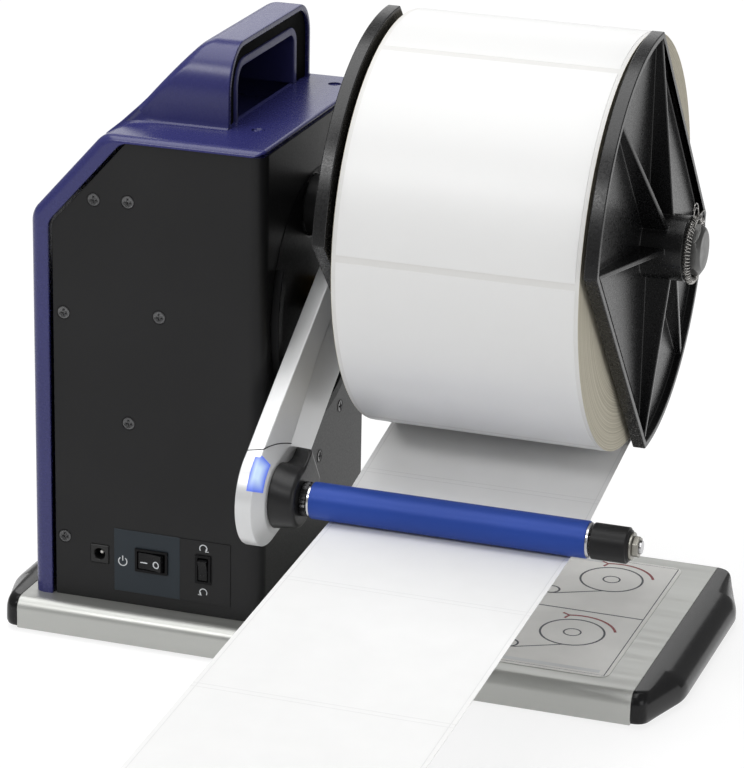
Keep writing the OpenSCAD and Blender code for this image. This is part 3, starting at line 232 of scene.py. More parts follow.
def dress(node, name, mat, width, segments):
    """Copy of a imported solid, merged, with its hard edges eased by a width in millimetres."""
    bm = bmesh.new()
    bm.from_mesh(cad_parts[node].data)
    bmesh.ops.remove_doubles(bm, verts=bm.verts, dist=MERGE)
    bmesh.ops.dissolve_limit(bm, angle_limit=math.radians(0.4), verts=bm.verts, edges=bm.edges)
    for face in bm.faces:
        face.material_index = 0
    obj = from_bmesh(name, bm, mat)
    ease = obj.modifiers.new("ease", "BEVEL")
    ease.width = width * MM
    ease.segments = segments
    ease.limit_method = "ANGLE"
    ease.angle_limit = math.radians(30)
    ease.use_clamp_overlap = False
    return settle(obj)


def fix(obj, body, slot, *nodes):
    """Put a piece on its body and in the place of its solids; the slot is not used."""
    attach(obj, body)
    if nodes:
        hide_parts(*nodes)


def clad(node, name, mat, width, segments, body, slot):
    """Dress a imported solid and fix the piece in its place."""
    fix(dress(node, name, mat, width, segments), body, slot, node)


anodised = surface("anodised_silver", (0.46, 0.465, 0.445), 0.4, metallic=0.75, grain=240,
                   depth=0.006, stretch=(0.05, 1, 1), mottle=0.05, patch=30, uneven=0.06)
clad("base_plate", "base_extrusion", anodised, 0.5, 3, "stand", "aluminium")

# End caps: black moulded plastic, polished, with cut corners and a round top and outer edge.
# Each is pushed into the open end of the extrusion.
gloss_black = surface("gloss_black", (0.008, 0.008, 0.0085), 0.2, specular=0.24, grain=420,
                      depth=0.003, mottle=0.2, uneven=0.04)


def spread(start, end, steps):
    """Values from one to another in equal steps, with both ends."""
    return [start + (end - start) * i / steps for i in range(steps + 1)]


def quarter(steps):
    """Angles of a quarter turn in equal steps."""
    return spread(0, math.pi / 2, steps)


def eased(corner, into, out, r):
    """Points of a round corner between two unit directions, turning clockwise."""
    turn = math.acos(max(-1, min(1, into.dot(out))))
    side = Vector((into.y, -into.x))
    centre = corner - into * r * math.tan(turn / 2) + side * r
    points = []
    for a in spread(0, turn, 6):
        points.append(centre - Vector((
            side.x * math.cos(a) + side.y * math.sin(a),
            -side.x * math.sin(a) + side.y * math.cos(a),
        )) * r)
    return points


def bridge(bm, low, high, closed=True):
    """Faces between two rows of vertices, in order."""
    pairs = list(zip(low, high))
    after = pairs[1:] + pairs[:1] if closed else pairs[1:]
    return [bm.faces.new((a, c, d, b)) for (a, b), (c, d) in zip(pairs, after)]


def loft(name, mat, rings, closed=True, ends=True, fill=False, angle=32, merge=True):
    """Skin over rings of points in millimetres, with flat ends where asked."""
    bm = bmesh.new()
    rows = [[bm.verts.new(Vector(p) * MM) for p in ring] for ring in rings]
    for low, high in zip(rows, rows[1:]):
        bridge(bm, low, high, closed)
    if ends:
        bm.faces.new(rows[0])
        bm.faces.new(rows[-1])
    if merge:
        bmesh.ops.remove_doubles(bm, verts=bm.verts, dist=MERGE)
        bmesh.ops.dissolve_degenerate(bm, dist=MERGE / 2, edges=bm.edges)
    if fill:
        bmesh.ops.holes_fill(bm, edges=[e for e in bm.edges if e.is_boundary], sides=0)
    bmesh.ops.recalc_face_normals(bm, faces=bm.faces)
    return settle(from_bmesh(name, bm, mat), angle)


BASE_END, BASE_HALF, PLATE_TOP = 150.0, 82.5, 17.0
CAP_L, CAP_NOSE, CAP_BEVEL, CAP_BEND, NOSE_BEND = 17.0, 5.5, 34.0, 30.0, 1.1
# Height where the cap's round begins, radius of its long edges and run of the round at its end
ROUND_Z, EDGE_R, END_RUN = 7.0, 6.0, 15.0


def cap_outline(side, z, drop, draw):
    """Plan of a cap at a height, drawn in by one margin at front and rear and one at its end."""
    reach, half = CAP_L - draw, BASE_HALF - drop
    nose = min(CAP_NOSE, reach - 1)
    rear, end = Vector((nose, half)), Vector((reach, BASE_HALF - CAP_BEVEL))
    slant, ahead = (end - rear).normalized(), Vector((0, -1))
    back = Vector((-slant.x, slant.y))
    outline = [Vector((0, half))]
    outline += eased(rear, Vector((1, 0)), slant, NOSE_BEND * nose)
    outline += eased(end, slant, ahead, CAP_BEND)
    outline += eased(Vector((end.x, -end.y)), ahead, back, CAP_BEND)
    outline += eased(Vector((rear.x, -rear.y)), back, Vector((-1, 0)), NOSE_BEND * nose)
    outline.append(Vector((0, -half)))
    return [(side * (BASE_END + p.x), p.y, z) for p in outline]


cap_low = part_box("right_end_cap")[0][2] / MM
cap_levels = [(cap_low, 2.5, 2.5), (cap_low + 0.7, 1.0, 1.0), (cap_low + 2.5, 0, 0)]
for a in quarter(10):
    z = ROUND_Z + (PLATE_TOP - ROUND_Z) * math.sin(a)
    rise = max(0, z - (PLATE_TOP - EDGE_R))
    cap_levels.append((z, EDGE_R - math.sqrt(EDGE_R ** 2 - rise ** 2), END_RUN * (1 - math.cos(a))))
for side, node, name in ((-1, "left_end_cap", "left_cap"), (1, "right_end_cap", "right_cap")):
    cap = loft(name, gloss_black, [cap_outline(side, *level) for level in cap_levels])
    fix(cap, "stand", "black_gloss", node)

# Rubber strips: black anti-slip rubber glued along the three rails under the plate.
# They have a dull face with a fine pebble and carry the whole machine.
pebble_rubber = surface("pebble_rubber", (0.02, 0.02, 0.02), 0.85, specular=0.3, grain=900,
                        depth=0.08, mottle=0.25)
clad("rubber_strips", "foot_strips", pebble_rubber, 0.3, 2, "stand", "rubber")

# Threading guide: a grey printed film stuck on the right of the plate, with two plain panels.
# The line drawings are generic: a roll, a roller and the way that the web runs between them.


def printed(name, colour, rough=0.5, specular=0.3, **more):
    """Smooth finish of printed film and of the ink on it."""
    return surface(name, colour, rough, specular=specular, grain=1500, depth=0.003, **more)


guide_film = printed("guide_film", (0.86, 0.85, 0.82), 0.38, 0.4, mottle=0.06, patch=40)
guide_ink = printed("guide_ink", (0.07, 0.075, 0.09))
light_ink = printed("light_ink", (0.74, 0.75, 0.75))
red_ink = printed("red_ink", (0.3, 0.05, 0.055))
clad("threading_guide", "guide_sheet", guide_film, 0.06, 1, "stand", "guide")


def ink_lines(name, mat, strokes, lay):
    """Flat printed strokes: each is (points, width, closed) in a plane that lay() puts in place."""
    bm = bmesh.new()
    for points, width, closed in strokes:
        pts = [Vector(p) for p in points]
        count = len(pts)
        sides = []
        for i, p in enumerate(pts):
            before = pts[(i - 1) % count] if closed or i else p
            after = pts[(i + 1) % count] if closed or i < count - 1 else p
            along = (after - before).normalized()
            across = Vector((-along.y, along.x)) * width / 2
            sides.append((bm.verts.new(lay(*(p + across))), bm.verts.new(lay(*(p - across)))))
        for i in range(count if closed else count - 1):
            a, b = sides[i], sides[(i + 1) % count]
            bm.faces.new((a[0], a[1], b[1], b[0]))
    bmesh.ops.recalc_face_normals(bm, faces=bm.faces)
    return from_bmesh(name, bm, mat)


def round_stroke(x, y, r, width, start=0, end=360, steps=40):
    """Circle or arc as one stroke."""
    closed = end - start >= 360
    turns = [math.radians(a) for a in spread(start, end, steps)]
    points = [(x + r * math.cos(a), y + r * math.sin(a)) for a in turns]
    return points[:-1] if closed else points, width, closed


def on_plate(x, y):
    """Point just above the film on the plate."""
    return Vector((x, y, PLATE_TOP + 0.34)) * MM


guide_strokes = [
    ([(62, -67), (133, -67), (133, 67), (62, 67)], 0.5, True),
    ([(62, 1), (133, 1)], 0.9, False),
]
guide_arrows = []
for middle in (-33, 35):
    guide_strokes += [
        round_stroke(106, middle + 8, 15, 1.0),
        round_stroke(106, middle + 8, 4, 0.8),
        round_stroke(82, middle - 14, 4.2, 1.0),
        ([(106, middle - 7), (86, middle - 17.5), (79, middle - 18.6)], 0.8, False),
        ([(79, middle - 18.6), (66, middle - 20)], 0.8, False),
        ([(69.5, middle - 17.6), (66, middle - 20), (69.8, middle - 21.8)], 0.8, False),
    ]
    guide_arrows += [
        round_stroke(106, middle + 8, 20, 1.3, 20, 110),
        ([(95.6, middle + 28.8), (99.2, middle + 26.8), (97.9, middle + 23)], 1.3, False),
    ]
panel_strokes = [([(65, -63.5), (130, -63.5)], 3.2, False), ([(65, 63.5), (96, 63.5)], 3.2, False)]
fix(ink_lines("guide_arrows", red_ink, guide_arrows, on_plate), "stand", "grey_print")
fix(ink_lines("guide_drawing", guide_ink, guide_strokes, on_plate), "stand", "grey_print")
fix(ink_lines("guide_panels", light_ink, panel_strokes, on_plate), "stand", "grey_print")

# Works inside the tower: chassis, bearings, motor, gears, board, pivot, spring and sensor.
# They show only through the vents and the gaps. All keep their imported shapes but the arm's
# torsion spring, which is wound here from round wire.
bright_steel = surface("bright_steel", (0.6, 0.6, 0.61), 0.25, metallic=1.0, grain=500, depth=0.003)
inside_finishes = (
    (surface("zinc_plate", (0.5, 0.5, 0.51), 0.45, metallic=0.8, grain=60, depth=0.01, mottle=0.2),
     ("chassis", "panel_bracket", "chassis_screws")),
    (bright_steel, ("spindle_axle", "pivot_shaft")),
    (surface("seal_black", (0.012, 0.012, 0.012), 0.6, grain=500, depth=0.01), ("spindle_bearings",)),
    (surface("motor_grey", (0.2, 0.21, 0.22), 0.4, metallic=0.5, grain=400, depth=0.01), ("drive_motor",)),
    (surface("sinter_brass", (0.55, 0.38, 0.14), 0.35, metallic=0.9, grain=600, depth=0.01),
     ("motor_pinion", "pivot_bush")),
    (surface("board_green", (0.02, 0.11, 0.05), 0.4, grain=500, depth=0.01), ("circuit_board",)),
    (surface("sensor_blue", (0.02, 0.04, 0.16), 0.4, grain=500, depth=0.01), ("angle_sensor",)),
    (surface("gear_nylon", (0.72, 0.7, 0.62), 0.5, grain=500, depth=0.01), ("drive_gear",)),
)


def recolour(node, mat):
    """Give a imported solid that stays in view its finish."""
    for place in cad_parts[node].material_slots:
        place.material = mat


for mat, nodes in inside_finishes:
    for node in nodes:
        recolour(node, mat)


def circle(r, count):
    """Points of a full circle about the origin."""
    return [(r * math.cos(a), r * math.sin(a)) for a in spread(0, math.tau, count)[:-1]]


def tube(name, mat, points, r, sides):
    """Round wire swept along points in millimetres without twist."""
    pts = [Vector(p) for p in points]
    up = (pts[1] - pts[0]).normalized().orthogonal().normalized()
    rings = []
    for i, p in enumerate(pts):
        along = (pts[min(i + 1, len(pts) - 1)] - pts[max(i - 1, 0)]).normalized()
        up = (up - along * up.dot(along)).normalized()
        across = along.cross(up)
        rings.append([p + r * (u * up + v * across) for u, v in circle(1, sides)])
    return loft(name, mat, rings, angle=60, merge=False)


def about(axis, x, r, a):
    """Point at a station, by its radius and angle about an axis through (y, z)."""
    return x, axis[0] + r * math.cos(a), axis[1] + r * math.sin(a)


PIVOT = (1.5, 158.0)
WIND_R, WIND_PITCH, WIND_TURNS, WIND_STEPS, WIND_WIRE = 6.077, 2.5, 5, 24, 0.9
wind_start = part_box("arm_spring")[0][0] / MM + WIND_WIRE
wind_path = []
for t in spread(0, WIND_TURNS, WIND_TURNS * WIND_STEPS):
    wind_path.append(about(PIVOT, wind_start + WIND_PITCH * t, WIND_R, math.tau * t))
fix(tube("torsion_spring", bright_steel, wind_path, WIND_WIRE, 8), "stand", "steel", "arm_spring")

# Black front and right side: one sheet of steel, bent round the front edge and powder coated.
# The coat is a fine satin black, and six screws hold the sheet in front.
powder_black = surface("powder_black", (0.012, 0.012, 0.0125), 0.4, specular=0.22, grain=1100,
                       depth=0.01, mottle=0.12)
clad("front_cover", "front_sheet", powder_black, 0.35, 2, "stand", "black_satin")

# Rear panel: the same black steel, flat, with a row of vent slots punched through it.
# It sits just inside the rear edges of the blue cover and the black sheet.
rear_black = surface("rear_black", (0.02, 0.02, 0.0205), 0.48, grain=1100, mottle=0.12)
clad("rear_panel", "rear_sheet", rear_black, 0.3, 2, "stand", "black_sheet")

# Blue cover: one moulding of the left wall, the slanted shoulder and the top, in deep blue ABS.
# Its front edge is a soft rounded rim, its shoulder corners are eased, and the top has a
# window for the finger pocket and two seats for screws.
moulded_blue = surface("moulded_blue", (0.027, 0.028, 0.13), 0.27, specular=0.42, grain=520,
                       depth=0.001, mottle=0.04, uneven=0.02)
TOWER_X, TOWER_RIGHT, TOWER_FRONT, TOWER_REAR, TOWER_TOP = -146.0, -32.0, -70.5, 70.5, 244.5
SHOULDER, SHOULDER_R = (36.0, 40.5), 11


def cover_profile(side, top, right, edge):
    """Left wall, shoulder and top in X and Z, drawn in by three margins, with a round right edge."""
    slant = Vector(SHOULDER).normalized()
    inward = Vector((slant.y, -slant.x))
    level = inward.dot(Vector((TOWER_X, TOWER_TOP - SHOULDER[1]))) + side
    x, z = TOWER_X + side, TOWER_TOP - top
    low = Vector((x, (x * inward.x - level) / -inward.y))
    high = Vector(((level - z * inward.y) / inward.x, z))
    r = SHOULDER_R - 0.3 * side
    points = [Vector((x, PLATE_TOP + rise)) for rise in (0, 60, 130)]
    points += eased(low, Vector((0, 1)), slant, r) + eased(high, slant, Vector((1, 0)), r)
    end = TOWER_RIGHT - right
    points += [Vector((end - 40, z)), Vector((end - 12, z))]
    points += [Vector((end - edge * (1 - math.sin(a)), z - edge * (1 - math.cos(a)))) for a in quarter(4)]
    return points


# Each ring is Y, three margins and the right edge's round, from the inner wall round the front
# rim to the rear edge
RIM_R, RIM_DROP, TOP_EDGE = 5, 2.85, 1.4
cover_rings = [
    (TOWER_REAR, 3, 3, 0, 0), (TOWER_FRONT + 3, 3, 3, 0.4, 0), (TOWER_FRONT + 3, 9.2, 3.05, 0.4, 0),
    (TOWER_FRONT + 0.4, 9.2, 3.05, 4, 0), (TOWER_FRONT, 8.8, 2.95, 4.6, 0),
]
for a in quarter(8):
    y, draw = TOWER_FRONT + RIM_R * (1 - math.cos(a)), 1 - math.sin(a)
    cover_rings.append((y, RIM_R * draw, RIM_DROP * draw, RIM_R * draw, TOP_EDGE * (1 - draw)))
cover_rings += [
    (TOWER_FRONT + 40, 0, 0, 0, TOP_EDGE), (TOWER_REAR - 0.8, 0, 0, 0, TOP_EDGE),
    (TOWER_REAR, 0.8, 0.8, 0.4, 0.8),
]
cover = loft("tower_cover", moulded_blue, [
    [(p.x, y, p.y) for p in cover_profile(*margins)] for y, *margins in cover_rings
], closed=False, ends=False, fill=True)


def cut_away(obj, tool, angle=32):
    """Take one closed mesh out of another and drop the tool."""
    cutter = obj.modifiers.new("cut", "BOOLEAN")
    cutter.object = tool
    cutter.solver = "EXACT"
    settle(obj, angle)
    bpy.data.objects.remove(tool)


POCKET = (-105.72, -27.5, -62.0, 58.5)


def pocket_plan(margin, r):
    """Outline of the finger pocket with round corners, anticlockwise, drawn in by a margin."""
    x1, x2 = POCKET[0] + margin + r, POCKET[2] - margin - r
    y1, y2 = POCKET[1] + margin + r, POCKET[3] - margin - r
    points = []
    for x, y, start in ((x2, y2, 0), (x1, y2, 90), (x1, y1, 180), (x2, y1, 270)):
        turns = [math.radians(a) for a in spread(start, start + 90, 5)]
        points += [(x + r * math.cos(a), y + r * math.sin(a)) for a in turns]
    return points


UNDER_TOP, ABOVE_TOP = 236, 250
cut_away(cover, loft("window_tool", None, [
    [(x, y, z) for x, y in pocket_plan(-0.2, 4)] for z in (UNDER_TOP, ABOVE_TOP)
]))
TOP_SCREWS = ((TOWER_RIGHT - 15.6, TOWER_FRONT + 35), (TOWER_RIGHT - 11.6, TOWER_FRONT + 126))
for x, y in TOP_SCREWS:
    cut_away(cover, loft("seat_tool", None, [
        [(x + u, y + v, z) for u, v in circle(3.15, 32)] for z in (TOWER_TOP - 1.1, ABOVE_TOP)
    ]))
fix(cover, "stand", "blue_cover", "side_cover")

# Handle hood: a second blue moulding on the tower's top, with a barrel front, a slanted left
# side in line with the shoulder, and a thin lip round its open right side.
HOOD_X = -60.0
SLANT_RUN = math.hypot(*SHOULDER) / SHOULDER[1]


def hood_left(z):
    """Station of the hood's slanted side at a height."""
    return TOWER_X + SHOULDER[0] + (z - TOWER_TOP) * SHOULDER[0] / SHOULDER[1]


def arch(y1, y2, z2, front, rear, inset=0.0, flare=0.0, sweep=0.0):
    """Arch in Y and Z from the front foot over the top to the rear foot."""
    y1, y2, z2 = y1 + inset, y2 - inset, z2 - inset
    fy, fz = front[0] - inset, front[1] - inset
    ry, rz = rear[0] - inset, rear[1] - inset
    z1 = TOWER_TOP
    points = [
        (y1 - flare - sweep, z1 - 0.08 * sweep),
        (y1 - 0.35 * flare - 0.5 * sweep, z1 + 0.5 * flare + 0.02 * sweep),
        (y1 - 0.12 * sweep, z1 + 1.6 * flare + 0.2 * sweep + 0.01),
        (y1, z1 + 0.6 * (z2 - fz - z1) + 1.0 + 0.05 * sweep),
    ]
    points += [(y1 + fy * (1 - math.cos(a)), z2 - fz + fz * math.sin(a)) for a in quarter(12)]
    points += [(y, z2) for y in spread(y1 + fy, y2 - ry, 4)[1:-1]]
    points += [(y2 - ry + ry * math.sin(a), z2 - rz + rz * math.cos(a)) for a in quarter(12)]
    points += [(y2, z1 + 0.6 * (z2 - rz - z1) + 1.0)]
    points += [(y2, z1 + 1.6 * flare + 0.01), (y2 + 0.35 * flare, z1 + 0.5 * flare), (y2 + flare, z1)]
    return points


HOOD = dict(y1=-40.5, y2=66.5, z2=282.0, front=(19, 24), rear=(14, 16))
HOOD_FLARE, HOOD_WALL, SLANT_EASE = 1.4, 3, 3.2
HOOD_SWEEP, SWEEP_RUN, SWEEP_END = 23.0, 4.3, 30


def swept_foot(off):
    """Foot of the hood at a distance from its slanted side: a flare and a sweep that dies away."""
    return dict(flare=HOOD_FLARE, sweep=HOOD_SWEEP * math.exp(-off / SWEEP_RUN))


hood_rings = []
for a in reversed(quarter(6)):
    inset, off = SLANT_EASE * (1 - math.cos(a)), SLANT_RUN * (SLANT_EASE * (1 - math.sin(a)))
    outline = arch(**HOOD, inset=inset, **swept_foot(off))
    hood_rings.append([(hood_left(z) + off, y, z) for y, z in outline])
start = SLANT_RUN * SLANT_EASE
for share in (0.1, 0.2, 0.33, 0.5, 0.7, 1.0):
    ring = []
    for y, z in arch(**HOOD, **swept_foot(start + (SWEEP_END - start) * share)):
        left = hood_left(z)
        end = min(HOOD_X - 9, left + SWEEP_END)
        ring.append((left + start + (end - left - start) * share, y, z))
    hood_rings.append(ring)
# The lip on the open side, and then the inner face back to the slanted side
for x, inset, flare in ((-0.9, 0, HOOD_FLARE), (-0.25, 0.25, HOOD_FLARE), (0, 0.9, 1.2), (0, 2.4, 0),
                        (-0.5, HOOD_WALL, 0)):
    hood_rings.append([(HOOD_X + x, y, z) for y, z in arch(**HOOD, inset=inset, flare=flare)])
inner_face = arch(**HOOD, inset=HOOD_WALL)
hood_rings.append([(hood_left(z) + SLANT_RUN * HOOD_WALL, y, z) for y, z in inner_face])
hood = loft("handle_hood", moulded_blue, hood_rings, closed=False, fill=True)
fix(hood, "stand", "blue_cover", "carry_handle")

# Grip liner: a darker blue shell pressed into the hood, with a lip that fills the hood's open
# side but for a narrow groove, and a pocket below the tower's top for the finger tips.
liner_blue = surface("liner_blue", (0.05, 0.052, 0.19), 0.42, specular=0.4, grain=600, depth=0.008)
LINER = dict(y1=POCKET[1], y2=POCKET[3] - 5, z2=272.6, front=(11, 13), rear=(9, 9))
LINER_X, LINER_WALL = POCKET[2], 4.2
liner_rings = [[(hood_left(z) + SLANT_RUN * 5.7, y, z) for y, z in arch(**LINER, inset=LINER_WALL)]]
for x, inset in ((-1.2, LINER_WALL), (-0.3, 3.9), (0, 3.3), (0, 0.9), (-0.3, 0.3), (-1.2, 0)):
    liner_rings.append([(LINER_X + x, y, z) for y, z in arch(**LINER, inset=inset)])
liner_rings.append([(hood_left(z) + SLANT_RUN * 3.2, y, z) for y, z in arch(**LINER)])
liner = loft("grip_shell", liner_blue, liner_rings, closed=False, fill=True)
fix(liner, "stand", "blue_liner", "grip_liner")
# A near-black strip set in the narrow groove between hood and liner is painted shade: it darkens the recess
# where shade falls.
groove_black = surface("groove_black", (0.002, 0.002, 0.0022), 0.8, specular=0.06, grain=800, depth=0.01)
beside_hood, beside_liner = arch(**HOOD, inset=HOOD_WALL + 0.05), arch(**LINER, inset=-0.05)
shade_strip_rings = []
for x, outline in ((-1.6, beside_hood), (-9.0, beside_hood), (-9.0, beside_liner), (-2.8, beside_liner),
                   (-1.6, beside_hood)):
    shade_strip_rings.append([(HOOD_X + x, y, z) for y, z in outline])
groove = loft("groove_strip", groove_black, shade_strip_rings, closed=False, ends=False, fill=True)
fix(groove, "stand", "black_satin")
POCKET_WALL, POCKET_R = 2.5, 5.5
pocket_rings = []
for margin, z in ((0, 232.5), (0, TOWER_TOP - 0.5), (0.2, TOWER_TOP - 0.3), (2.3, TOWER_TOP - 0.3),
                  (POCKET_WALL, TOWER_TOP - 0.5), (POCKET_WALL, 237.0), (POCKET_WALL + 2, 235.0)):
    pocket_rings.append([(x, y, z) for x, y in pocket_plan(margin, POCKET_R - margin)])
fix(loft("finger_pocket", liner_blue, pocket_rings), "stand", "blue_liner")

# Cover screws: small black steel screws with a cross recess, flush with the sheet.
# Six hold the black front, two the right side, and two with blue heads the blue top.
screw_black = surface("screw_black", (0.1, 0.1, 0.102), 0.27, metallic=0.75, grain=900, depth=0.006,
                      mottle=0.2)


def screw_head():
    """Flush head along +Z with a cross recess, top at the origin."""
    bm = bmesh.new()
    rim = circle(3, 28)
    arm, half = 1.85, 0.5
    cross = [(arm, half), (half, half), (half, arm), (-half, arm), (-half, half), (-arm, half),
             (-arm, -half), (-half, -half), (-half, -arm), (half, -arm), (half, -half), (arm, -half)]

    def ring(points, z, scale=1.0):
        return [bm.verts.new((x * scale * MM, y * scale * MM, z * MM)) for x, y in points]

    top, edge, foot = ring(rim, 0.16, 0.86), ring(rim, 0.0), ring(rim, -1.2, 0.5)
    mouth, floor = ring(cross, 0.16), ring(cross, -0.85, 0.82)
    for low, high in ((foot, edge), (edge, top), (mouth, floor)):
        bridge(bm, low, high)
    bm.faces.new(floor)
    bm.faces.new(foot)
    borders = []
    for loop in (top, mouth):
        borders += [bm.edges.get(pair) for pair in zip(loop, loop[1:] + loop[:1])]
    bmesh.ops.triangle_fill(bm, edges=borders, use_beauty=True)
    bmesh.ops.recalc_face_normals(bm, faces=bm.faces)
    return settle(from_bmesh("screw_head", bm, None), 25)


def screw_tree():
    """Node tree that sets a head on every point, turned to the point's own direction."""
    tree = bpy.data.node_groups.new("set_screws", "GeometryNodeTree")
    inputs = {}
    for label, kind in (("Places", "Geometry"), ("Head", "Object"), ("Finish", "Material")):
        socket = tree.interface.new_socket(label, in_out="INPUT", socket_type="NodeSocket" + kind)
        inputs[label] = socket.identifier
    tree.interface.new_socket("Screws", in_out="OUTPUT", socket_type="NodeSocketGeometry")
    given = add_node(tree, "NodeGroupInput").outputs
    head = add_node(tree, "GeometryNodeObjectInfo", {"Object": given["Head"]})
    aim = add_node(tree, "GeometryNodeInputNamedAttribute", {"Name": "aim"}, data_type="FLOAT_VECTOR")
    turn = add_node(tree, "FunctionNodeAlignRotationToVector", {"Vector": aim.outputs["Attribute"]}, axis="Z")
    placed = add_node(tree, "GeometryNodeInstanceOnPoints", {
        "Points": given["Places"],
        "Instance": head.outputs["Geometry"],
        "Rotation": turn.outputs["Rotation"],
    })
    real = add_node(tree, "GeometryNodeRealizeInstances", {"Geometry": placed.outputs["Instances"]})
    finished = add_node(tree, "GeometryNodeSetMaterial", {
        "Geometry": real.outputs["Geometry"], "Material": given["Finish"],
    })
    add_node(tree, "NodeGroupOutput", {"Screws": finished.outputs["Geometry"]})
    return tree, inputs


set_screws, screw_inputs = screw_tree()
head = screw_head()


def screws(name, places, finish=screw_black):
    """Screws at (point, direction) pairs, as one plain mesh."""
    mesh = bpy.data.meshes.new(name)
    mesh.from_pydata([Vector(p) * MM for p, _ in places], [], [])
    aim = mesh.attributes.new("aim", "FLOAT_VECTOR", "POINT")
    aim.data.foreach_set("vector", [c for _, d in places for c in d])
    obj = put(name, mesh)
    nodes = obj.modifiers.new("set_screws", "NODES")
    nodes.node_group = set_screws
    nodes[screw_inputs["Head"]] = head
    nodes[screw_inputs["Finish"]] = finish
    return settle(obj, 25)


PANEL_Y = TOWER_FRONT + 1.5
TOWER_W, TOWER_H = TOWER_RIGHT - TOWER_X, TOWER_TOP - PLATE_TOP
# Places on the front as shares of its width and height
PANEL_SCREWS = (
    (0.276, 0.862), (0.423, 0.865), (0.14, 0.617), (0.556, 0.632), (0.422, 0.397), (0.135, 0.13),
)
fix(screws("front_screws", [
    ((TOWER_X + TOWER_W * u, PANEL_Y, PLATE_TOP + TOWER_H * v), (0, -1, 0)) for u, v in PANEL_SCREWS
]), "stand", "black_screw", "panel_screws")
SIDE_SCREWS = ((TOWER_FRONT + 108, PLATE_TOP + 72.3), (TOWER_FRONT + 79.6, PLATE_TOP + 56.3))
fix(screws("cover_fixings", [
    ((TOWER_RIGHT, y, z), (1, 0, 0)) for y, z in SIDE_SCREWS
]), "stand", "black_screw", "cover_screws")
fix(screws("top_fixings", [
    ((x, y, TOWER_TOP - 0.9), (0, 0, 1)) for x, y in TOP_SCREWS
], moulded_blue), "stand", "blue_cover")
bpy.data.objects.remove(head)

# Control fields: two printed films under the switches, blue-grey for power and black for winding.
# The power sign is the common ring and bar, and the winding signs are two plain turning arrows.
CONTROL_Z = 40.3
FILM_Y = PANEL_Y - 0.4
film_grey = printed("film_grey", (0.018, 0.025, 0.032), 0.4, 0.25, mottle=0.06)
film_black = printed("film_black", (0.011, 0.011, 0.0115), 0.36, 0.22, mottle=0.06)
sign_white = printed("sign_white", (0.62, 0.64, 0.66), 0.5, 0.5, mottle=0.04)
clad("switch_overlay", "power_film", film_grey, 0.08, 1, "stand", "grey_print")
clad("selector_overlay", "winding_film", film_black, 0.08, 1, "stand", "black_print")


def on_film(x, z):
    """Point just in front of the films."""
    return Vector((x, FILM_Y - 0.03, z)) * MM


POWER_X, SELECTOR_X, SOCKET_X = -86.4, -60.4, -112.8
SIGN_X, SIGN_Z = -101.0, 38.3
power_sign = [
    round_stroke(SIGN_X, SIGN_Z, 2.1, 0.5, 125, 415),
    ([(SIGN_X, SIGN_Z + 0.3), (SIGN_X, SIGN_Z + 2.9)], 0.5, False),
]
fix(ink_lines("power_sign", sign_white, power_sign, on_film), "stand", "grey_print")
ARROW_R, ARROW_BARB = 1.8, 1.5
turn_signs = []
for z, first, last in ((CONTROL_Z + 10.4, 215, -50), (CONTROL_Z - 11.6, -35, 230)):
    turn_signs.append(round_stroke(SELECTOR_X, z, ARROW_R, 0.45, *sorted((first, last))))
    end = math.radians(last)
    tip = Vector((SELECTOR_X + ARROW_R * math.cos(end), z + ARROW_R * math.sin(end)))
    way = math.copysign(1, last - first)
    back = Vector((math.sin(end), -math.cos(end))) * way * ARROW_BARB
    barbs = [tip + Matrix.Rotation(math.radians(lean), 2) @ back for lean in (38, -38)]
    turn_signs.append(([barbs[0], tip - back * 0.15, barbs[1]], 0.4, False))
fix(ink_lines("winding_signs", sign_white, turn_signs, on_film), "stand", "black_print")

# Power socket: a black square front with a round bore and a bright contact pin in the middle.
# It is clipped into the black front from behind.
socket_black = surface("socket_black", (0.014, 0.014, 0.014), 0.35, specular=0.3, grain=900, depth=0.005)
bright_pin = surface("bright_pin", (0.75, 0.74, 0.7), 0.35, metallic=0.6, grain=900, depth=0.003)
JACK_R, JACK_HALF, JACK_TIP, JACK_SEAT, JACK_DEEP, PIN_R = 2.75, 4.5, 2.2, 4.6, 9.0, 1.0


def socket_ring(y, size, square=False):
    """Ring round the socket's axis, square or round, at a depth behind the front."""
    ring = []
    for u, v in circle(1, 48):
        reach = size / max(abs(u), abs(v)) if square else size
        ring.append((SOCKET_X + reach * u, PANEL_Y + y, CONTROL_Z + reach * v))
    return ring


fix(loft("socket_body", socket_black, [socket_ring(*row) for row in (
    (JACK_DEEP, JACK_HALF, True), (-0.3, JACK_HALF, True), (-0.6, JACK_HALF - 0.3, True),
    (-0.6, JACK_R + 0.3), (-0.3, JACK_R), (JACK_SEAT, JACK_R), (JACK_SEAT, JACK_R - 0.5),
    (JACK_DEEP - 0.5, JACK_R - 0.5),
)]), "stand", "black_gloss", "power_socket")
fix(loft("socket_pin", bright_pin, [socket_ring(*row) for row in (
    (JACK_DEEP - 0.4, PIN_R), (JACK_TIP + 0.4, PIN_R), (JACK_TIP, PIN_R - 0.4),
)]), "stand", "chrome")

# Mains switch and winding selector: black frames pressed into the front, each with a rocker on a pin.
# The rockers are smooth plastic, and the mains rocker carries the usual bar and ring.
switch_black = surface("switch_black", (0.005, 0.005, 0.0055), 0.4, specular=0.12, grain=900, depth=0.004)
rocker_black = surface("rocker_black", (0.005, 0.005, 0.0055), 0.3, specular=0.2, grain=900, depth=0.004)
clad("power_switch", "power_frame", switch_black, 0.25, 2, "stand", "black_gloss")
clad("selector_switch", "selector_frame", switch_black, 0.25, 2, "stand", "black_gloss")
clad("power_rocker", "power_tip", rocker_black, 0.2, 2, "power_key", "black_gloss")
clad("selector_rocker", "selector_tip", rocker_black, 0.2, 2, "selector_key", "black_gloss")
TIP_TURN = Matrix.Rotation(math.radians(-8), 3, "Z")
TIP_PIN = Vector((POWER_X, FILM_Y + 1.4, CONTROL_Z))
TIP_HALF = 6.45


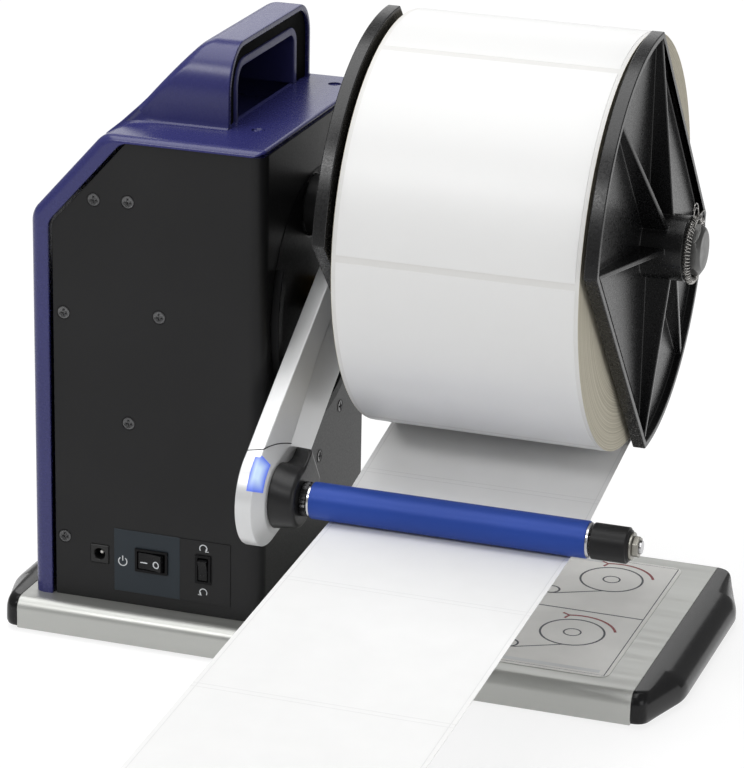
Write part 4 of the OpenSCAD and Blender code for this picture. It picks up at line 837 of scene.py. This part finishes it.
def on_tip(x, z):
    """Point just in front of the mains rocker's hollow face, as it stands tipped."""
    face = np.interp(abs(x), (0, TIP_HALF / 2, TIP_HALF - 0.5), (2.5, 2.7, 3.2)) + 0.05
    return (TIP_PIN + TIP_TURN @ Vector((x, -face, z))) * MM


fix(ink_lines("power_tip_signs", sign_white, [
    ([(-5.0, -0.8), (-3.22, -0.8), (-1.4, -0.8)], 0.55, False), round_stroke(3.3, -0.8, 1.5, 0.55, steps=24),
], on_tip), "power_key", "black_gloss")

# Pivot disc: a black moulded disc let into the right side behind the arm, round the brass bush.
# A raised ring runs round its lower part as a guard for the arm and ends below the collar.
disc_black = surface("disc_black", (0.006, 0.006, 0.0065), 0.45, specular=0.1, grain=800, depth=0.006,
                     mottle=0.1)
GUARD_R, GUARD_END, DISC_FACE = 55.4, math.radians(26.4), 0.2
disc = dress("pivot_disc", "stop_disc", disc_black, 0.5, 3)
scoop = [(GUARD_R, a) for a in spread(math.pi - GUARD_END, math.tau + GUARD_END, 60)]
scoop += [(70, GUARD_END), (90, math.pi / 2), (70, math.pi - GUARD_END)]
cut_away(disc, loft("scoop_tool", None, [
    [about(PIVOT, TOWER_RIGHT + x, r, a) for r, a in scoop] for x in (DISC_FACE, 6)
]))
ease = disc.modifiers.new("ease", "BEVEL")
ease.width, ease.segments, ease.angle_limit = 0.5 * MM, 2, math.radians(50)
settle(disc)
fix(disc, "stand", "black_gloss", "pivot_disc")

# Spindle: a black collar next to the tower and a hexagonal bar, blackened steel with a ground end.
# A plastic sleeve on the bar centres the cardboard core.
collar_black = surface("collar_black", (0.01, 0.01, 0.0105), 0.35, specular=0.3, depth=0.006)
bar_dark = surface("bar_dark", (0.1, 0.1, 0.098), 0.34, metallic=0.85, grain=260, depth=0.006,
                   stretch=(0.08, 1, 1), mottle=0.15)
clad("spindle_collar", "axle_collar", collar_black, 0.6, 3, "spindle", "black_satin")
clad("spindle_bar", "hex_bar", bar_dark, 0.5, 3, "spindle", "dark_metal")
clad("core_holder", "core_sleeve", collar_black, 0.4, 2, "spindle", "black_satin")

# Flanges: two black moulded plates of one pattern, with two straight sides, a rim, ribs and a hub.
# The outer one slides off the bar for loading. Their faces are left bare.
flange_black = surface("flange_black", (0.007, 0.007, 0.0075), 0.28, specular=0.4, grain=900,
                       depth=0.003, mottle=0.1, uneven=0.06)
clad("inner_flange", "inner_plate", flange_black, 0.5, 3, "spindle", "flange")
clad("outer_flange", "outer_plate", flange_black, 0.5, 3, "loose_flange", "flange")

# Retaining spring: bright spring wire, openly coiled round the bar against the outer hub.
# Its two ends are bent into eyes at the top, and one leg stands out for the fingers.
spring_steel = surface("spring_steel", (0.38, 0.37, 0.355), 0.2, metallic=1.0, grain=900, depth=0.002)
SPINDLE, OUTER_FACE = (-4.5, 202.6), 125.6
COIL_X, COIL_R, COIL_RING, COIL_TURNS, COIL_OPEN = OUTER_FACE + 24.1, 1.5, 14.22, 56, 11.0
COIL_STEPS, EYE_STEPS, EYE_R, EYE_TURN, EYE_LEAN = COIL_TURNS * 12, 20, 2.4, 330, 1.6


def about_spindle(x, turn, r):
    """Point at an angle from straight up towards the front of the spindle."""
    a = math.radians(turn)
    return Vector((x, SPINDLE[0] - r * math.sin(a), SPINDLE[1] + r * math.cos(a)))


def coil_point(t):
    """Point of the coiled ring, from one eye at 0 to the other at 1."""
    phase = math.tau * COIL_TURNS * t
    return about_spindle(COIL_X + COIL_R * math.sin(phase), COIL_OPEN + (360 - 2 * COIL_OPEN) * t,
                         COIL_RING + COIL_R * math.cos(phase))


def coil_eye(side, t):
    """Point of the eye on one side, from the coil at 0 to its free end at 1."""
    middle = about_spindle(COIL_X, side * COIL_OPEN, COIL_RING + COIL_R + EYE_R)
    turn = math.radians(180 + side * (COIL_OPEN - EYE_TURN * t))
    return middle + Vector((side * EYE_LEAN * t, -EYE_R * math.sin(turn), EYE_R * math.cos(turn)))


coil_path = [coil_eye(1, 1) + Vector((3, -1, 4))]
coil_path += [coil_eye(1, t) for t in spread(1, 0, EYE_STEPS)[:-1]]
coil_path += [coil_point(t) for t in spread(0, 1, COIL_STEPS)]
coil_path += [coil_eye(-1, t) for t in spread(0, 1, EYE_STEPS)[1:]]
fix(tube("retaining_spring", spring_steel, coil_path, 0.3, 6), "loose_flange", "chrome", "flange_clip")

# Core: a grey-brown tube of wound card inside the roll.
# Its spiral paper edges show at the ends.
core_card = surface("core_card", (0.3, 0.22, 0.14), 0.8, specular=0.2, grain=500, depth=0.04, mottle=0.15)
clad("core_tube", "card_core", core_card, 0.3, 2, "spindle", "card")

# Roll: many turns of white label stock on its liner, wound a little uneven at the sides.
# The outer turn shows each label's edge against the liner, and the sides show the cream layers.
ROLL_X1, ROLL_X2, ROLL_R, CORE_R, SIDE_ROWS = 10.9, 123.4, 95.0, 22.8, 84
LABEL_X1, LABEL_X2, LABEL_T, LABEL_STEP, LABEL_GAP, GAP_TURN = 13.05, 121.25, 0.14, 63.3, 3.0, 86.0
label_white = surface("label_white", (0.765, 0.765, 0.76), 0.36, specular=0.4, grain=1600, depth=0.004,
                      mottle=0.015, patch=9)
liner_paper = surface("liner_paper", (0.7, 0.695, 0.68), 0.42, specular=0.35, grain=1600, depth=0.004,
                      mottle=0.02)

# The sides' paper: fine rings of cream and shadow that depend on the distance from the axis alone
layer_paper, tree, shader = new_material("layer_paper")
place = add_node(tree, "ShaderNodeTexCoord").outputs["Object"]
axis_at = (0, -SPINDLE[0] * MM, -SPINDLE[1] * MM)
centred = add_node(tree, "ShaderNodeMapping", {"Vector": place, "Location": axis_at}).outputs["Vector"]
flat = add_node(tree, "ShaderNodeVectorMath", {0: centred, 1: (0, 1, 1)}, operation="MULTIPLY")
out_from_axis = add_node(tree, "ShaderNodeVectorMath", {0: flat.outputs["Vector"]}, operation="LENGTH")
layers = add_node(tree, "ShaderNodeTexNoise", noise_dimensions="1D", inputs={
    "W": out_from_axis.outputs["Value"], "Scale": 2400, "Detail": 5,
}).outputs["Fac"]
relief = add_node(tree, "ShaderNodeBump", {"Height": layers, "Strength": 0.5, "Distance": 0.0001})
feed(tree, shader, {
    "Base Color": ramp(tree, layers, (0.32, (0.4, 0.365, 0.28)), (0.68, (0.7, 0.66, 0.55))),
    "Roughness": 0.75, "Specular IOR Level": 0.2, "Normal": relief.outputs["Normal"],
})

gap_half = math.degrees(LABEL_GAP / 2 / ROLL_R)
gap_turns = [GAP_TURN + LABEL_STEP * k for k in (-3, -2, -1, 0, 1)]
turns = set(np.arange(0, 360, 2.0))
for g in gap_turns:
    turns |= {(g + s * (gap_half + e)) % 360 for s in (-1, 1) for e in (-0.05, 0.05)}
turns = sorted(turns)
left_edge, right_edge = ROLL_X1 + 0.3, ROLL_X2 - 0.3
across = [left_edge, LABEL_X1 - 0.05, LABEL_X1 + 0.05, 40, 67, 94,
          LABEL_X2 - 0.05, LABEL_X2 + 0.05, right_edge]


def in_gap(turn):
    """Whether an angle lies between two labels."""
    return any(abs((turn - g + 180) % 360 - 180) < gap_half for g in gap_turns)


bm = bmesh.new()
rng = np.random.default_rng(7)
side_radii = np.linspace(ROLL_R - 0.2, CORE_R, SIDE_ROWS)
wander = [np.cumsum(rng.normal(0, 0.05, SIDE_ROWS)) + rng.normal(0, 0.06, SIDE_ROWS) for _ in range(2)]
wander = [np.clip(w - w.mean(), -0.35, 0.25) * 0.8 for w in wander]
left_side = [(left_edge - w, r) for w, r in zip(wander[0], side_radii)]
right_side = [(right_edge + w, r) for w, r in zip(wander[1], side_radii)]
roll_rows = []
for turn in turns:
    skin = []
    for x in across:
        bare = in_gap(turn) or x < LABEL_X1 or x > LABEL_X2
        skin.append((x, ROLL_R - (LABEL_T if bare else 0.0)))
    section = left_side[::-1] + skin + right_side
    roll_rows.append([bm.verts.new(about_spindle(x, turn, r) * MM) for x, r in section])
for i, row in enumerate(roll_rows):
    after = (i + 1) % len(turns)
    middle = (turns[i] + turns[after] + (0 if after else 360)) / 2
    for k, face in enumerate(bridge(bm, row, roll_rows[after])):
        outside = SIDE_ROWS <= k < SIDE_ROWS + len(across) - 1
        label = outside and not in_gap(middle) and LABEL_X1 <= across[k - SIDE_ROWS] < LABEL_X2
        face.material_index = 0 if label else 1 if outside else 2
bmesh.ops.recalc_face_normals(bm, faces=bm.faces)
roll = from_bmesh("label_winding", bm, label_white)
roll.data.materials.append(liner_paper)
roll.data.materials.append(layer_paper)
settle(roll, 40)
fix(roll, "spindle", "paper", "label_roll")

# Label web: one strip of the same stock, from the roll's underside, under the roller and forward.
# It is drawn taut between roll and roller, and its free front end falls to the table in a curl.
# The strip is made in two lengths that meet under the roller.
ROLLER = (-94.894, 93.47)
WEB_T, WEB_SLOPE, CURL_R, WEB_FRONT_Y, WEB_TAIL = 0.3, math.radians(3.5), 48.0, -344.894, 12.0
WRAP_ROLL, WRAP_ROLLER = ROLL_R + 0.3, 8.7


def polar(a):
    """Unit direction at an angle from straight down towards the rear."""
    return Vector((math.sin(a), -math.cos(a)))


spindle_at, roller_at = Vector(SPINDLE), Vector(ROLLER)
span = spindle_at - roller_at
web_angle = math.atan2(span.y, span.x) - math.asin((WRAP_ROLL - WRAP_ROLLER) / span.length)
leave_roller = roller_at + WRAP_ROLLER * polar(-WEB_SLOPE)
web_fall = (leave_roller.x - WEB_FRONT_Y) * math.tan(WEB_SLOPE)
web_front = Vector((WEB_FRONT_Y, leave_roller.y - web_fall))
web_drop = web_front.y - WEB_T - 0.3
bend = math.acos((1 + math.cos(WEB_SLOPE) - web_drop / CURL_R) / 2)
curl_centre = web_front + CURL_R * polar(WEB_SLOPE)
land_centre = curl_centre - 2 * CURL_R * polar(bend)


def straight(a, b):
    """Points from one end to just before the other, about 3 mm apart."""
    count = max(2, int((b - a).length / 3.0))
    return [a.lerp(b, i / count) for i in range(count)]


rear_path = straight(spindle_at + WRAP_ROLL * polar(web_angle), roller_at + WRAP_ROLLER * polar(web_angle))
rear_path += [roller_at + WRAP_ROLLER * polar(a) for a in spread(web_angle, 0, 4)]
front_path = [roller_at + WRAP_ROLLER * polar(a) for a in spread(0, -WEB_SLOPE, 2)[:-1]]
front_path += straight(leave_roller, web_front)
front_path += [curl_centre - CURL_R * polar(a) for a in spread(WEB_SLOPE, bend, 18)[:-1]]
front_path += [land_centre + CURL_R * polar(a) for a in spread(bend, 0, 18)]
front_path.append(land_centre + Vector((-WEB_TAIL, -CURL_R)))


def path_length(path):
    """Length along a path."""
    return sum((b - a).length for a, b in zip(path, path[1:]))


# The web's labels: their pitch, where one gap lies, their side edges and the width of an edge line
WEB_LABEL_PITCH, WEB_GAP_Y, WEB_EDGES, LINE_W = 105.0, -153.5, (2.1, 110.4), 0.6
rear_length, front_length = path_length(rear_path), path_length(front_path)
gap_run = next(
    rear_length + path_length(front_path[:i + 1]) for i, p in enumerate(front_path) if p.x <= WEB_GAP_Y
)


def off_from(tree, value, middle, half):
    """Distance of a value from a middle, as a share of half a width."""
    return reckon(tree, "DIVIDE", reckon(tree, "ABSOLUTE", reckon(tree, "SUBTRACT", value, middle)), half)


def near(tree, value, at, half):
    """1 within half of a value, soft at the edges."""
    off = reckon(tree, "SMOOTH_MIN", 1.0, off_from(tree, value, at, half), 0.05)
    return reckon(tree, "SUBTRACT", 1.0, off)


web_paper, tree, shader = new_material("web_paper")
web_uv = add_node(tree, "ShaderNodeUVMap", uv_map="run").outputs["UV"]
split = add_node(tree, "ShaderNodeSeparateXYZ", {"Vector": web_uv}).outputs
# The shift puts the gap in the middle of a pitch and keeps the run above zero
run = reckon(tree, "ADD", split["Y"], (WEB_LABEL_PITCH * 20.5 - gap_run) * MM)
in_pitch = reckon(tree, "MODULO", run, WEB_LABEL_PITCH * MM)
half_pitch, half_gap, half_line = (v / 2 * MM for v in (WEB_LABEL_PITCH, LABEL_GAP, LINE_W))
# The label edges are painted as darker lines: partly the real cut edge, partly painted shade of the label's
# step.
lines = near(tree, in_pitch, half_pitch - half_gap, half_line)
lines = reckon(tree, "MAXIMUM", lines, near(tree, in_pitch, half_pitch + half_gap, half_line))
for edge in WEB_EDGES:
    lines = reckon(tree, "MAXIMUM", lines, near(tree, split["X"], edge * MM, half_line))
fibre = add_node(tree, "ShaderNodeTexNoise", {"Vector": web_uv, "Scale": 60, "Detail": 6}).outputs["Fac"]
cut_and_shade = add_node(tree, "ShaderNodeMix", data_type="RGBA", inputs={
    "Factor": reckon(tree, "MULTIPLY", lines, 0.55),
    "A": ramp(tree, fibre, (0, (0.84, 0.84, 0.835)), (1, (0.89, 0.89, 0.885))),
    "B": (0.62, 0.62, 0.62, 1),
})
relief = add_node(tree, "ShaderNodeBump", {"Height": lines, "Distance": 0.0001, "Strength": 0.6}, invert=True)
feed(tree, shader, {
    "Base Color": cut_and_shade.outputs["Result"], "Roughness": 0.4, "Specular IOR Level": 0.35,
    "Normal": relief.outputs["Normal"],
})

WEB_LANES = 18


def web_length(name, path, start_run):
    """Thin strip along a path in Y and Z, with its run along the web kept as a UV map."""
    bm = bmesh.new()
    uv = bm.loops.layers.uv.new("run")
    stations = np.linspace(ROLL_X1, ROLL_X2, WEB_LANES + 1)
    rows, spots, run = [], {}, start_run
    for i, p in enumerate(path):
        before, after = path[max(i - 1, 0)], path[min(i + 1, len(path) - 1)]
        run += (p - before).length
        along = (after - before).normalized()
        down = Vector((-along.y, along.x))
        if down.y > 0:
            down = -down
        row = []
        for q, across in ((p, stations), (p + down * WEB_T, stations[::-1])):
            for x in across:
                row.append(bm.verts.new(Vector((x, q.x, q.y)) * MM))
                spots[row[-1]] = ((x - ROLL_X1) * MM, run * MM)
        rows.append(row)
    for low, high in zip(rows, rows[1:]):
        bridge(bm, low, high)
    for row in (rows[0], rows[-1]):
        bridge(bm, row[:WEB_LANES + 1], row[:WEB_LANES:-1], closed=False)
    for face in bm.faces:
        for loop in face.loops:
            loop[uv].uv = spots[loop.vert]
    bmesh.ops.recalc_face_normals(bm, faces=bm.faces)
    return settle(from_bmesh(name, bm, web_paper), 50)


web_rear = web_length("web_from_roll", rear_path, 0.0)
web_fore = web_length("web_to_front", front_path, rear_length)
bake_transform(web_rear)
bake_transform(web_fore)
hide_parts("label_web")

# Tension arm: a silver painted shell with a straight rim and a broad bevel up to its outer face.
# The lower end is a separate cap, so a fine parting line crosses the rim and the bevel.
arm_silver = surface("arm_silver", (0.7, 0.705, 0.71), 0.32, metallic=0.3, grain=900, depth=0.0,
                     mottle=0.03, uneven=0.0)
ARM_X, RIDGE_X, ARM_X2 = -26.0, -18.4, -14.0
ARM_WAY = (Vector(PIVOT) - roller_at).normalized()
ARM_REAR = Vector((ARM_WAY.y, -ARM_WAY.x))
ARM_L, ARM_LOW_R, ARM_HIGH_R = 116.0, 24.0, 22.0
ARM_LEAN = math.acos((ARM_LOW_R - ARM_HIGH_R) / ARM_L)
# Width of the bevel on the front edge: stations along the arm and margins there
BEVEL_AT, BEVEL_W = (0, 24, 70, ARM_L), (6.9, 16.6, 8.7, 7.0)
# Its width round the lower end and on the rear edge, and the length in which one runs into the other
BEVEL_END, BEVEL_REAR, BEVEL_RUN = 6.9, 5.5, 21.75


def arm_point(x, along, rear):
    """Point at a station, by its distances along the arm and to the arm's rear."""
    p = roller_at + ARM_WAY * along + ARM_REAR * rear
    return Vector((x, p.x, p.y))


def arm_half(along):
    """Half the arm's width at a distance along it."""
    return ARM_LOW_R + (ARM_HIGH_R - ARM_LOW_R) * along / ARM_L


def arm_edge():
    """Outline as (along, rear, outward direction, bevel width), once round the arm."""
    edge = []

    def add(s, a, bevel):
        edge.append((s + arm_half(s) * math.cos(a), arm_half(s) * math.sin(a), a, bevel))

    for a in spread(math.tau - ARM_LEAN, ARM_LEAN, 40):
        add(0, a, BEVEL_END)
    for s in spread(0, ARM_L, 16)[1:-1]:
        add(s, ARM_LEAN, np.interp(s, (0, BEVEL_RUN), (BEVEL_END, BEVEL_REAR)))
    for a, bevel in zip(spread(ARM_LEAN, -ARM_LEAN, 32), spread(BEVEL_REAR, BEVEL_W[-1], 32)):
        add(ARM_L, a, bevel)
    for s in spread(ARM_L, 0, 24)[1:-1]:
        add(s, -ARM_LEAN, np.interp(s, BEVEL_AT, BEVEL_W))
    return edge


def arm_ring(x, share, extra=0.0):
    """Outline at a station, drawn in by a share of the bevel and a margin."""
    ring = []
    for along, rear, a, bevel in arm_edge():
        inset = share * bevel + extra
        ring.append(arm_point(x, along - inset * math.cos(a), rear - inset * math.sin(a)))
    return ring


ARM_SECTION = ((ARM_X, 0, 0.7), (ARM_X + 0.2, 0, 0.2), (ARM_X + 0.7, 0, 0), (RIDGE_X - 0.3, 0, 0),
               (RIDGE_X + 0.1, 0.02, 0.12), (RIDGE_X + 0.35, 0.06, 0.12), (ARM_X2 - 0.3, 0.92, 0),
               (ARM_X2 - 0.05, 0.985, 0), (ARM_X2, 1.0, 0.4))
arm = loft("arm_body", arm_silver, [arm_ring(*row) for row in ARM_SECTION], angle=40)


def on_bevel(along, share):
    """Point on the front bevel, from the ridge at 0 to the inner edge at 1."""
    inset = share * np.interp(along, BEVEL_AT, BEVEL_W)
    return arm_point(RIDGE_X + share * (ARM_X2 - RIDGE_X), along, -(arm_half(along) - inset))


# Stations of the parting line along the arm: at its back, on the ridge and at the bevel's inner edge
SEAM_BACK, SEAM_RIDGE, SEAM_FACE = 5.4, 7.2, 24.0
seam_path = []
for x in np.linspace(ARM_X - 1, RIDGE_X, 8):
    along = SEAM_BACK + (SEAM_RIDGE - SEAM_BACK) * (x - ARM_X) / (RIDGE_X - ARM_X)
    seam_path.append(arm_point(x, along, -(ARM_LOW_R - 0.1)))
for share in spread(0, 1, 12)[1:]:
    seam_path.append(on_bevel(SEAM_RIDGE + (SEAM_FACE - SEAM_RIDGE) * share, share))
cut_away(arm, tube("seam_tool", None, seam_path, 0.3, 6), 40)
fix(arm, "arm", "silver", "arm_shell")
# A thin near-black tube laid in the parting line's cut is painted shade in the gap.
fix(tube("parting_line", groove_black, seam_path[1:], 0.2, 6), "arm", "black_satin")
fix(loft("arm_plate", arm_silver, [
    arm_ring(x, 0, inset) for x, inset in ((ARM_X + 0.3, 2.2), (ARM_X, 2.2), (ARM_X - 0.2, 2.5))
]), "arm", "silver", "arm_back")

# Status light: a clear pale blue window let into the arm's rim and bevel at its lower end.
# It is lit from inside, bright in the middle and blue towards its edges.
LIGHT_FROM, LIGHT_TO, LIGHT_X1, LIGHT_X2 = 114.5, 158.0, -20.9, -14.95
LIGHT_LIFT, LIGHT_DEPTH = 0.1, -0.6
light_clear, tree, lens = new_material("light_clear")
place = add_node(tree, "ShaderNodeTexCoord").outputs["Object"]
where = add_node(tree, "ShaderNodeSeparateXYZ", {"Vector": place}).outputs
up_from_axis = reckon(tree, "SUBTRACT", where["Z"], ROLLER[1] * MM)
back_from_axis = reckon(tree, "SUBTRACT", where["Y"], ROLLER[0] * MM)
turn = reckon(tree, "ARCTAN2", up_from_axis, back_from_axis)
off_turn = off_from(tree, turn, math.radians((LIGHT_FROM + LIGHT_TO) / 2),
                    math.radians((LIGHT_TO - LIGHT_FROM) / 2))
off_side = off_from(tree, where["X"], (LIGHT_X1 + LIGHT_X2) / 2 * MM, (LIGHT_X2 - LIGHT_X1) / 2 * MM)
fade = reckon(tree, "SMOOTH_MAX", off_turn, off_side, 0.3)
feed(tree, lens, {
    "Base Color": (0.05, 0.08, 0.3, 1), "Roughness": 0.4, "Emission Strength": 0.8,
    "Emission Color": ramp(tree, fade, (0.3, (0.7, 0.88, 0.95)), (0.95, (0.1, 0.17, 0.72))),
})
# Across the window: station, share of the bevel, and how far the face leans there
LIGHT_SECTION = (
    (LIGHT_X1, 0, 0), (RIDGE_X - 0.3, 0, 0), (RIDGE_X + 0.1, 0.02, 0.5), (RIDGE_X + 0.6, 0.12, 0.75),
    (-16.6, 0.41, 0.8), (LIGHT_X2, 0.785, 0.8),
)
light_rings = []
for turn in spread(LIGHT_FROM, LIGHT_TO, 20):
    ring = []
    for lift, section in ((LIGHT_LIFT, LIGHT_SECTION), (LIGHT_DEPTH, LIGHT_SECTION[::-1])):
        for x, share, slope in section:
            r = ARM_LOW_R - share * BEVEL_END + lift * (1 - 0.4 * slope)
            ring.append(about(ROLLER, x + lift * slope, r, math.radians(turn)))
    light_rings.append(ring)
fix(loft("light_window", light_clear, light_rings, angle=40), "arm", "light", "arm_light")

# Hub cover: a satin black cap over the roller's bearing on the arm, shaped like a keyhole.
# Its round edge is moulded, and a fine dark gap runs round its foot.
hub_black = surface("hub_black", (0.011, 0.011, 0.0115), 0.36, specular=0.3, grain=900, depth=0.006,
                    mottle=0.1)
HUB_X2, HUB_ROUND, FORE_BEND, AFT_BEND = -2.0, 2, 14, 3


def arc(centre, r, start, end, steps):
    """Points of an arc from one angle to another, in radians."""
    return [centre + r * Vector((math.cos(a), math.sin(a))) for a in spread(start, end, steps)]


def hub_outline(disc, front, rear, tip, inset):
    """Edge of the cap as (along, rear): a disc that runs in soft bends into a square tab."""
    disc, front, rear, tip = disc - inset, front + inset, rear - inset, tip - inset
    fore, aft = FORE_BEND + inset, AFT_BEND + inset
    bend = Vector((math.sqrt((disc + fore) ** 2 - (front - fore) ** 2), front - fore))
    heel = Vector((math.sqrt((disc + aft) ** 2 - (rear + aft) ** 2), rear + aft))
    bend_turn, heel_turn = math.atan2(bend.y, bend.x), math.atan2(heel.y, heel.x)
    r = max(0.2, HUB_ROUND - inset)
    edge = arc(Vector((tip - r, front + r)), r, 0, -math.pi / 2, 4)
    edge += [Vector((tip - r, front)).lerp(Vector((bend.x, front)), i / 5) for i in range(1, 5)]
    edge += arc(bend, fore, math.pi / 2, math.pi + bend_turn, 8)
    edge += arc(Vector((0, 0)), disc, bend_turn, heel_turn - math.tau, 60)[1:]
    edge += arc(heel, aft, heel_turn - math.pi, -math.pi / 2, 6)[1:]
    edge += [Vector((heel.x, rear)).lerp(Vector((tip - r, rear)), i / 5) for i in range(1, 5)]
    return edge + arc(Vector((tip - r, rear - r)), r, math.pi / 2, 0, 4)


# Disc radius, front edge, rear edge and tip of the cap at its foot and at its end
HUB_FOOT, HUB_END = (15.0, 0.0, 12.0, 28.5), (13.6, -11.0, 12.5, 20.5)
hub_section = [(ARM_X2 - 0.6, 0.7), (ARM_X2 + 0.1, 0.6), (ARM_X2 + 0.4, 0), (HUB_X2 - 6, 0)]
for a in quarter(6):
    hub_section.append((HUB_X2 - HUB_ROUND + HUB_ROUND * math.sin(a), HUB_ROUND * (1 - math.cos(a))))
hub_rings = []
for x, inset in hub_section:
    share = max(0, min(1, (x - ARM_X2) / (HUB_X2 - ARM_X2)))
    sizes = [a + (b - a) * share for a, b in zip(HUB_FOOT, HUB_END)]
    hub_rings.append([arm_point(x, p.x, p.y) for p in hub_outline(*sizes, inset)])
fix(loft("hub_cap", hub_black, hub_rings, angle=35), "arm", "black_satin", "hub_cover")

# Roller: a blue anodised aluminium tube on a steel shaft, turning on two metal bushes.
# A knurled ring sits at the arm's end, and a black sleeve, a washer and a nut close the free end.
roller_blue = surface("roller_blue", (0.013, 0.053, 0.31), 0.46, metallic=0.2, specular=0.36, grain=900,
                      depth=0.002, mottle=0.05)
polished = surface("polished_steel", (0.5, 0.5, 0.51), 0.24, metallic=1.0, depth=0.002)


def revolve(name, mat, profile):
    """Turned part: a closed profile of (x, radius) about the roller's axis."""
    rings = []
    for u, v in circle(1, 64):
        rings.append([(x, ROLLER[0] - r * v, ROLLER[1] + r * u) for x, r in profile])
    rings.append(rings[0])
    return loft(name, mat, rings, ends=False)


TUBE_X1, TUBE_X2, TUBE_R, BUSH_R, BUSH_L, SHAFT_R = 2.8, 131.0, 8.4, 4.9, 10, 3.1
tube_end = ((0, BUSH_R + 0.1), (0, TUBE_R - 0.5), (0.15, TUBE_R - 0.15), (0.5, TUBE_R))
tube_profile = [(TUBE_X1 + x, r) for x, r in tube_end] + [(TUBE_X2 - x, r) for x, r in reversed(tube_end)]
fix(revolve("web_roller", roller_blue, tube_profile), "roller", "blue_roller", "roller_tube")
for name, end, way in (("arm_bush", TUBE_X1, -1), ("free_bush", TUBE_X2, 1)):
    fix(revolve(name, polished, [
        (end - way * BUSH_L, SHAFT_R), (end - way * BUSH_L, BUSH_R), (end, BUSH_R), (end, TUBE_R - 0.6),
        (end + way * 0.9, TUBE_R - 0.6), (end + way * 1.2, TUBE_R - 0.9), (end + way * 1.2, SHAFT_R),
    ]), "roller", "chrome", "roller_bushes")
recolour("roller_shaft", polished)
ring_dark = surface("ring_dark", (0.03, 0.03, 0.031), 0.25, metallic=0.8, depth=0.003)
KNURL_X1, KNURL_X2, KNURL_R, KNURL_LOW, KNURL_BORE = -2.1, 1.4, 7.9, 7.2, 3.2
knurl = []
for k, (u, v) in enumerate(circle(1, 48)):
    top = KNURL_R if k % 2 else KNURL_LOW
    section = ((KNURL_X1, KNURL_BORE), (KNURL_X1, top - 0.3), (KNURL_X1 + 0.3, top),
               (KNURL_X2 - 0.3, top), (KNURL_X2, top - 0.3), (KNURL_X2, KNURL_BORE))
    knurl.append([(x, ROLLER[0] + r * u, ROLLER[1] + r * v) for x, r in section])
knurl.append(knurl[0])
fix(loft("knurled_ring", ring_dark, knurl, ends=False, angle=20), "arm", "dark_metal")
clad("end_sleeve", "free_sleeve", powder_black, 0.5, 3, "arm", "black_gloss")
dull_nickel = surface("dull_nickel", (0.3, 0.29, 0.26), 0.34, metallic=0.9, depth=0.004)
clad("end_washer", "free_washer", dull_nickel, 0.25, 2, "arm", "chrome")
clad("end_nut", "free_nut", dull_nickel, 0.3, 2, "arm", "chrome")
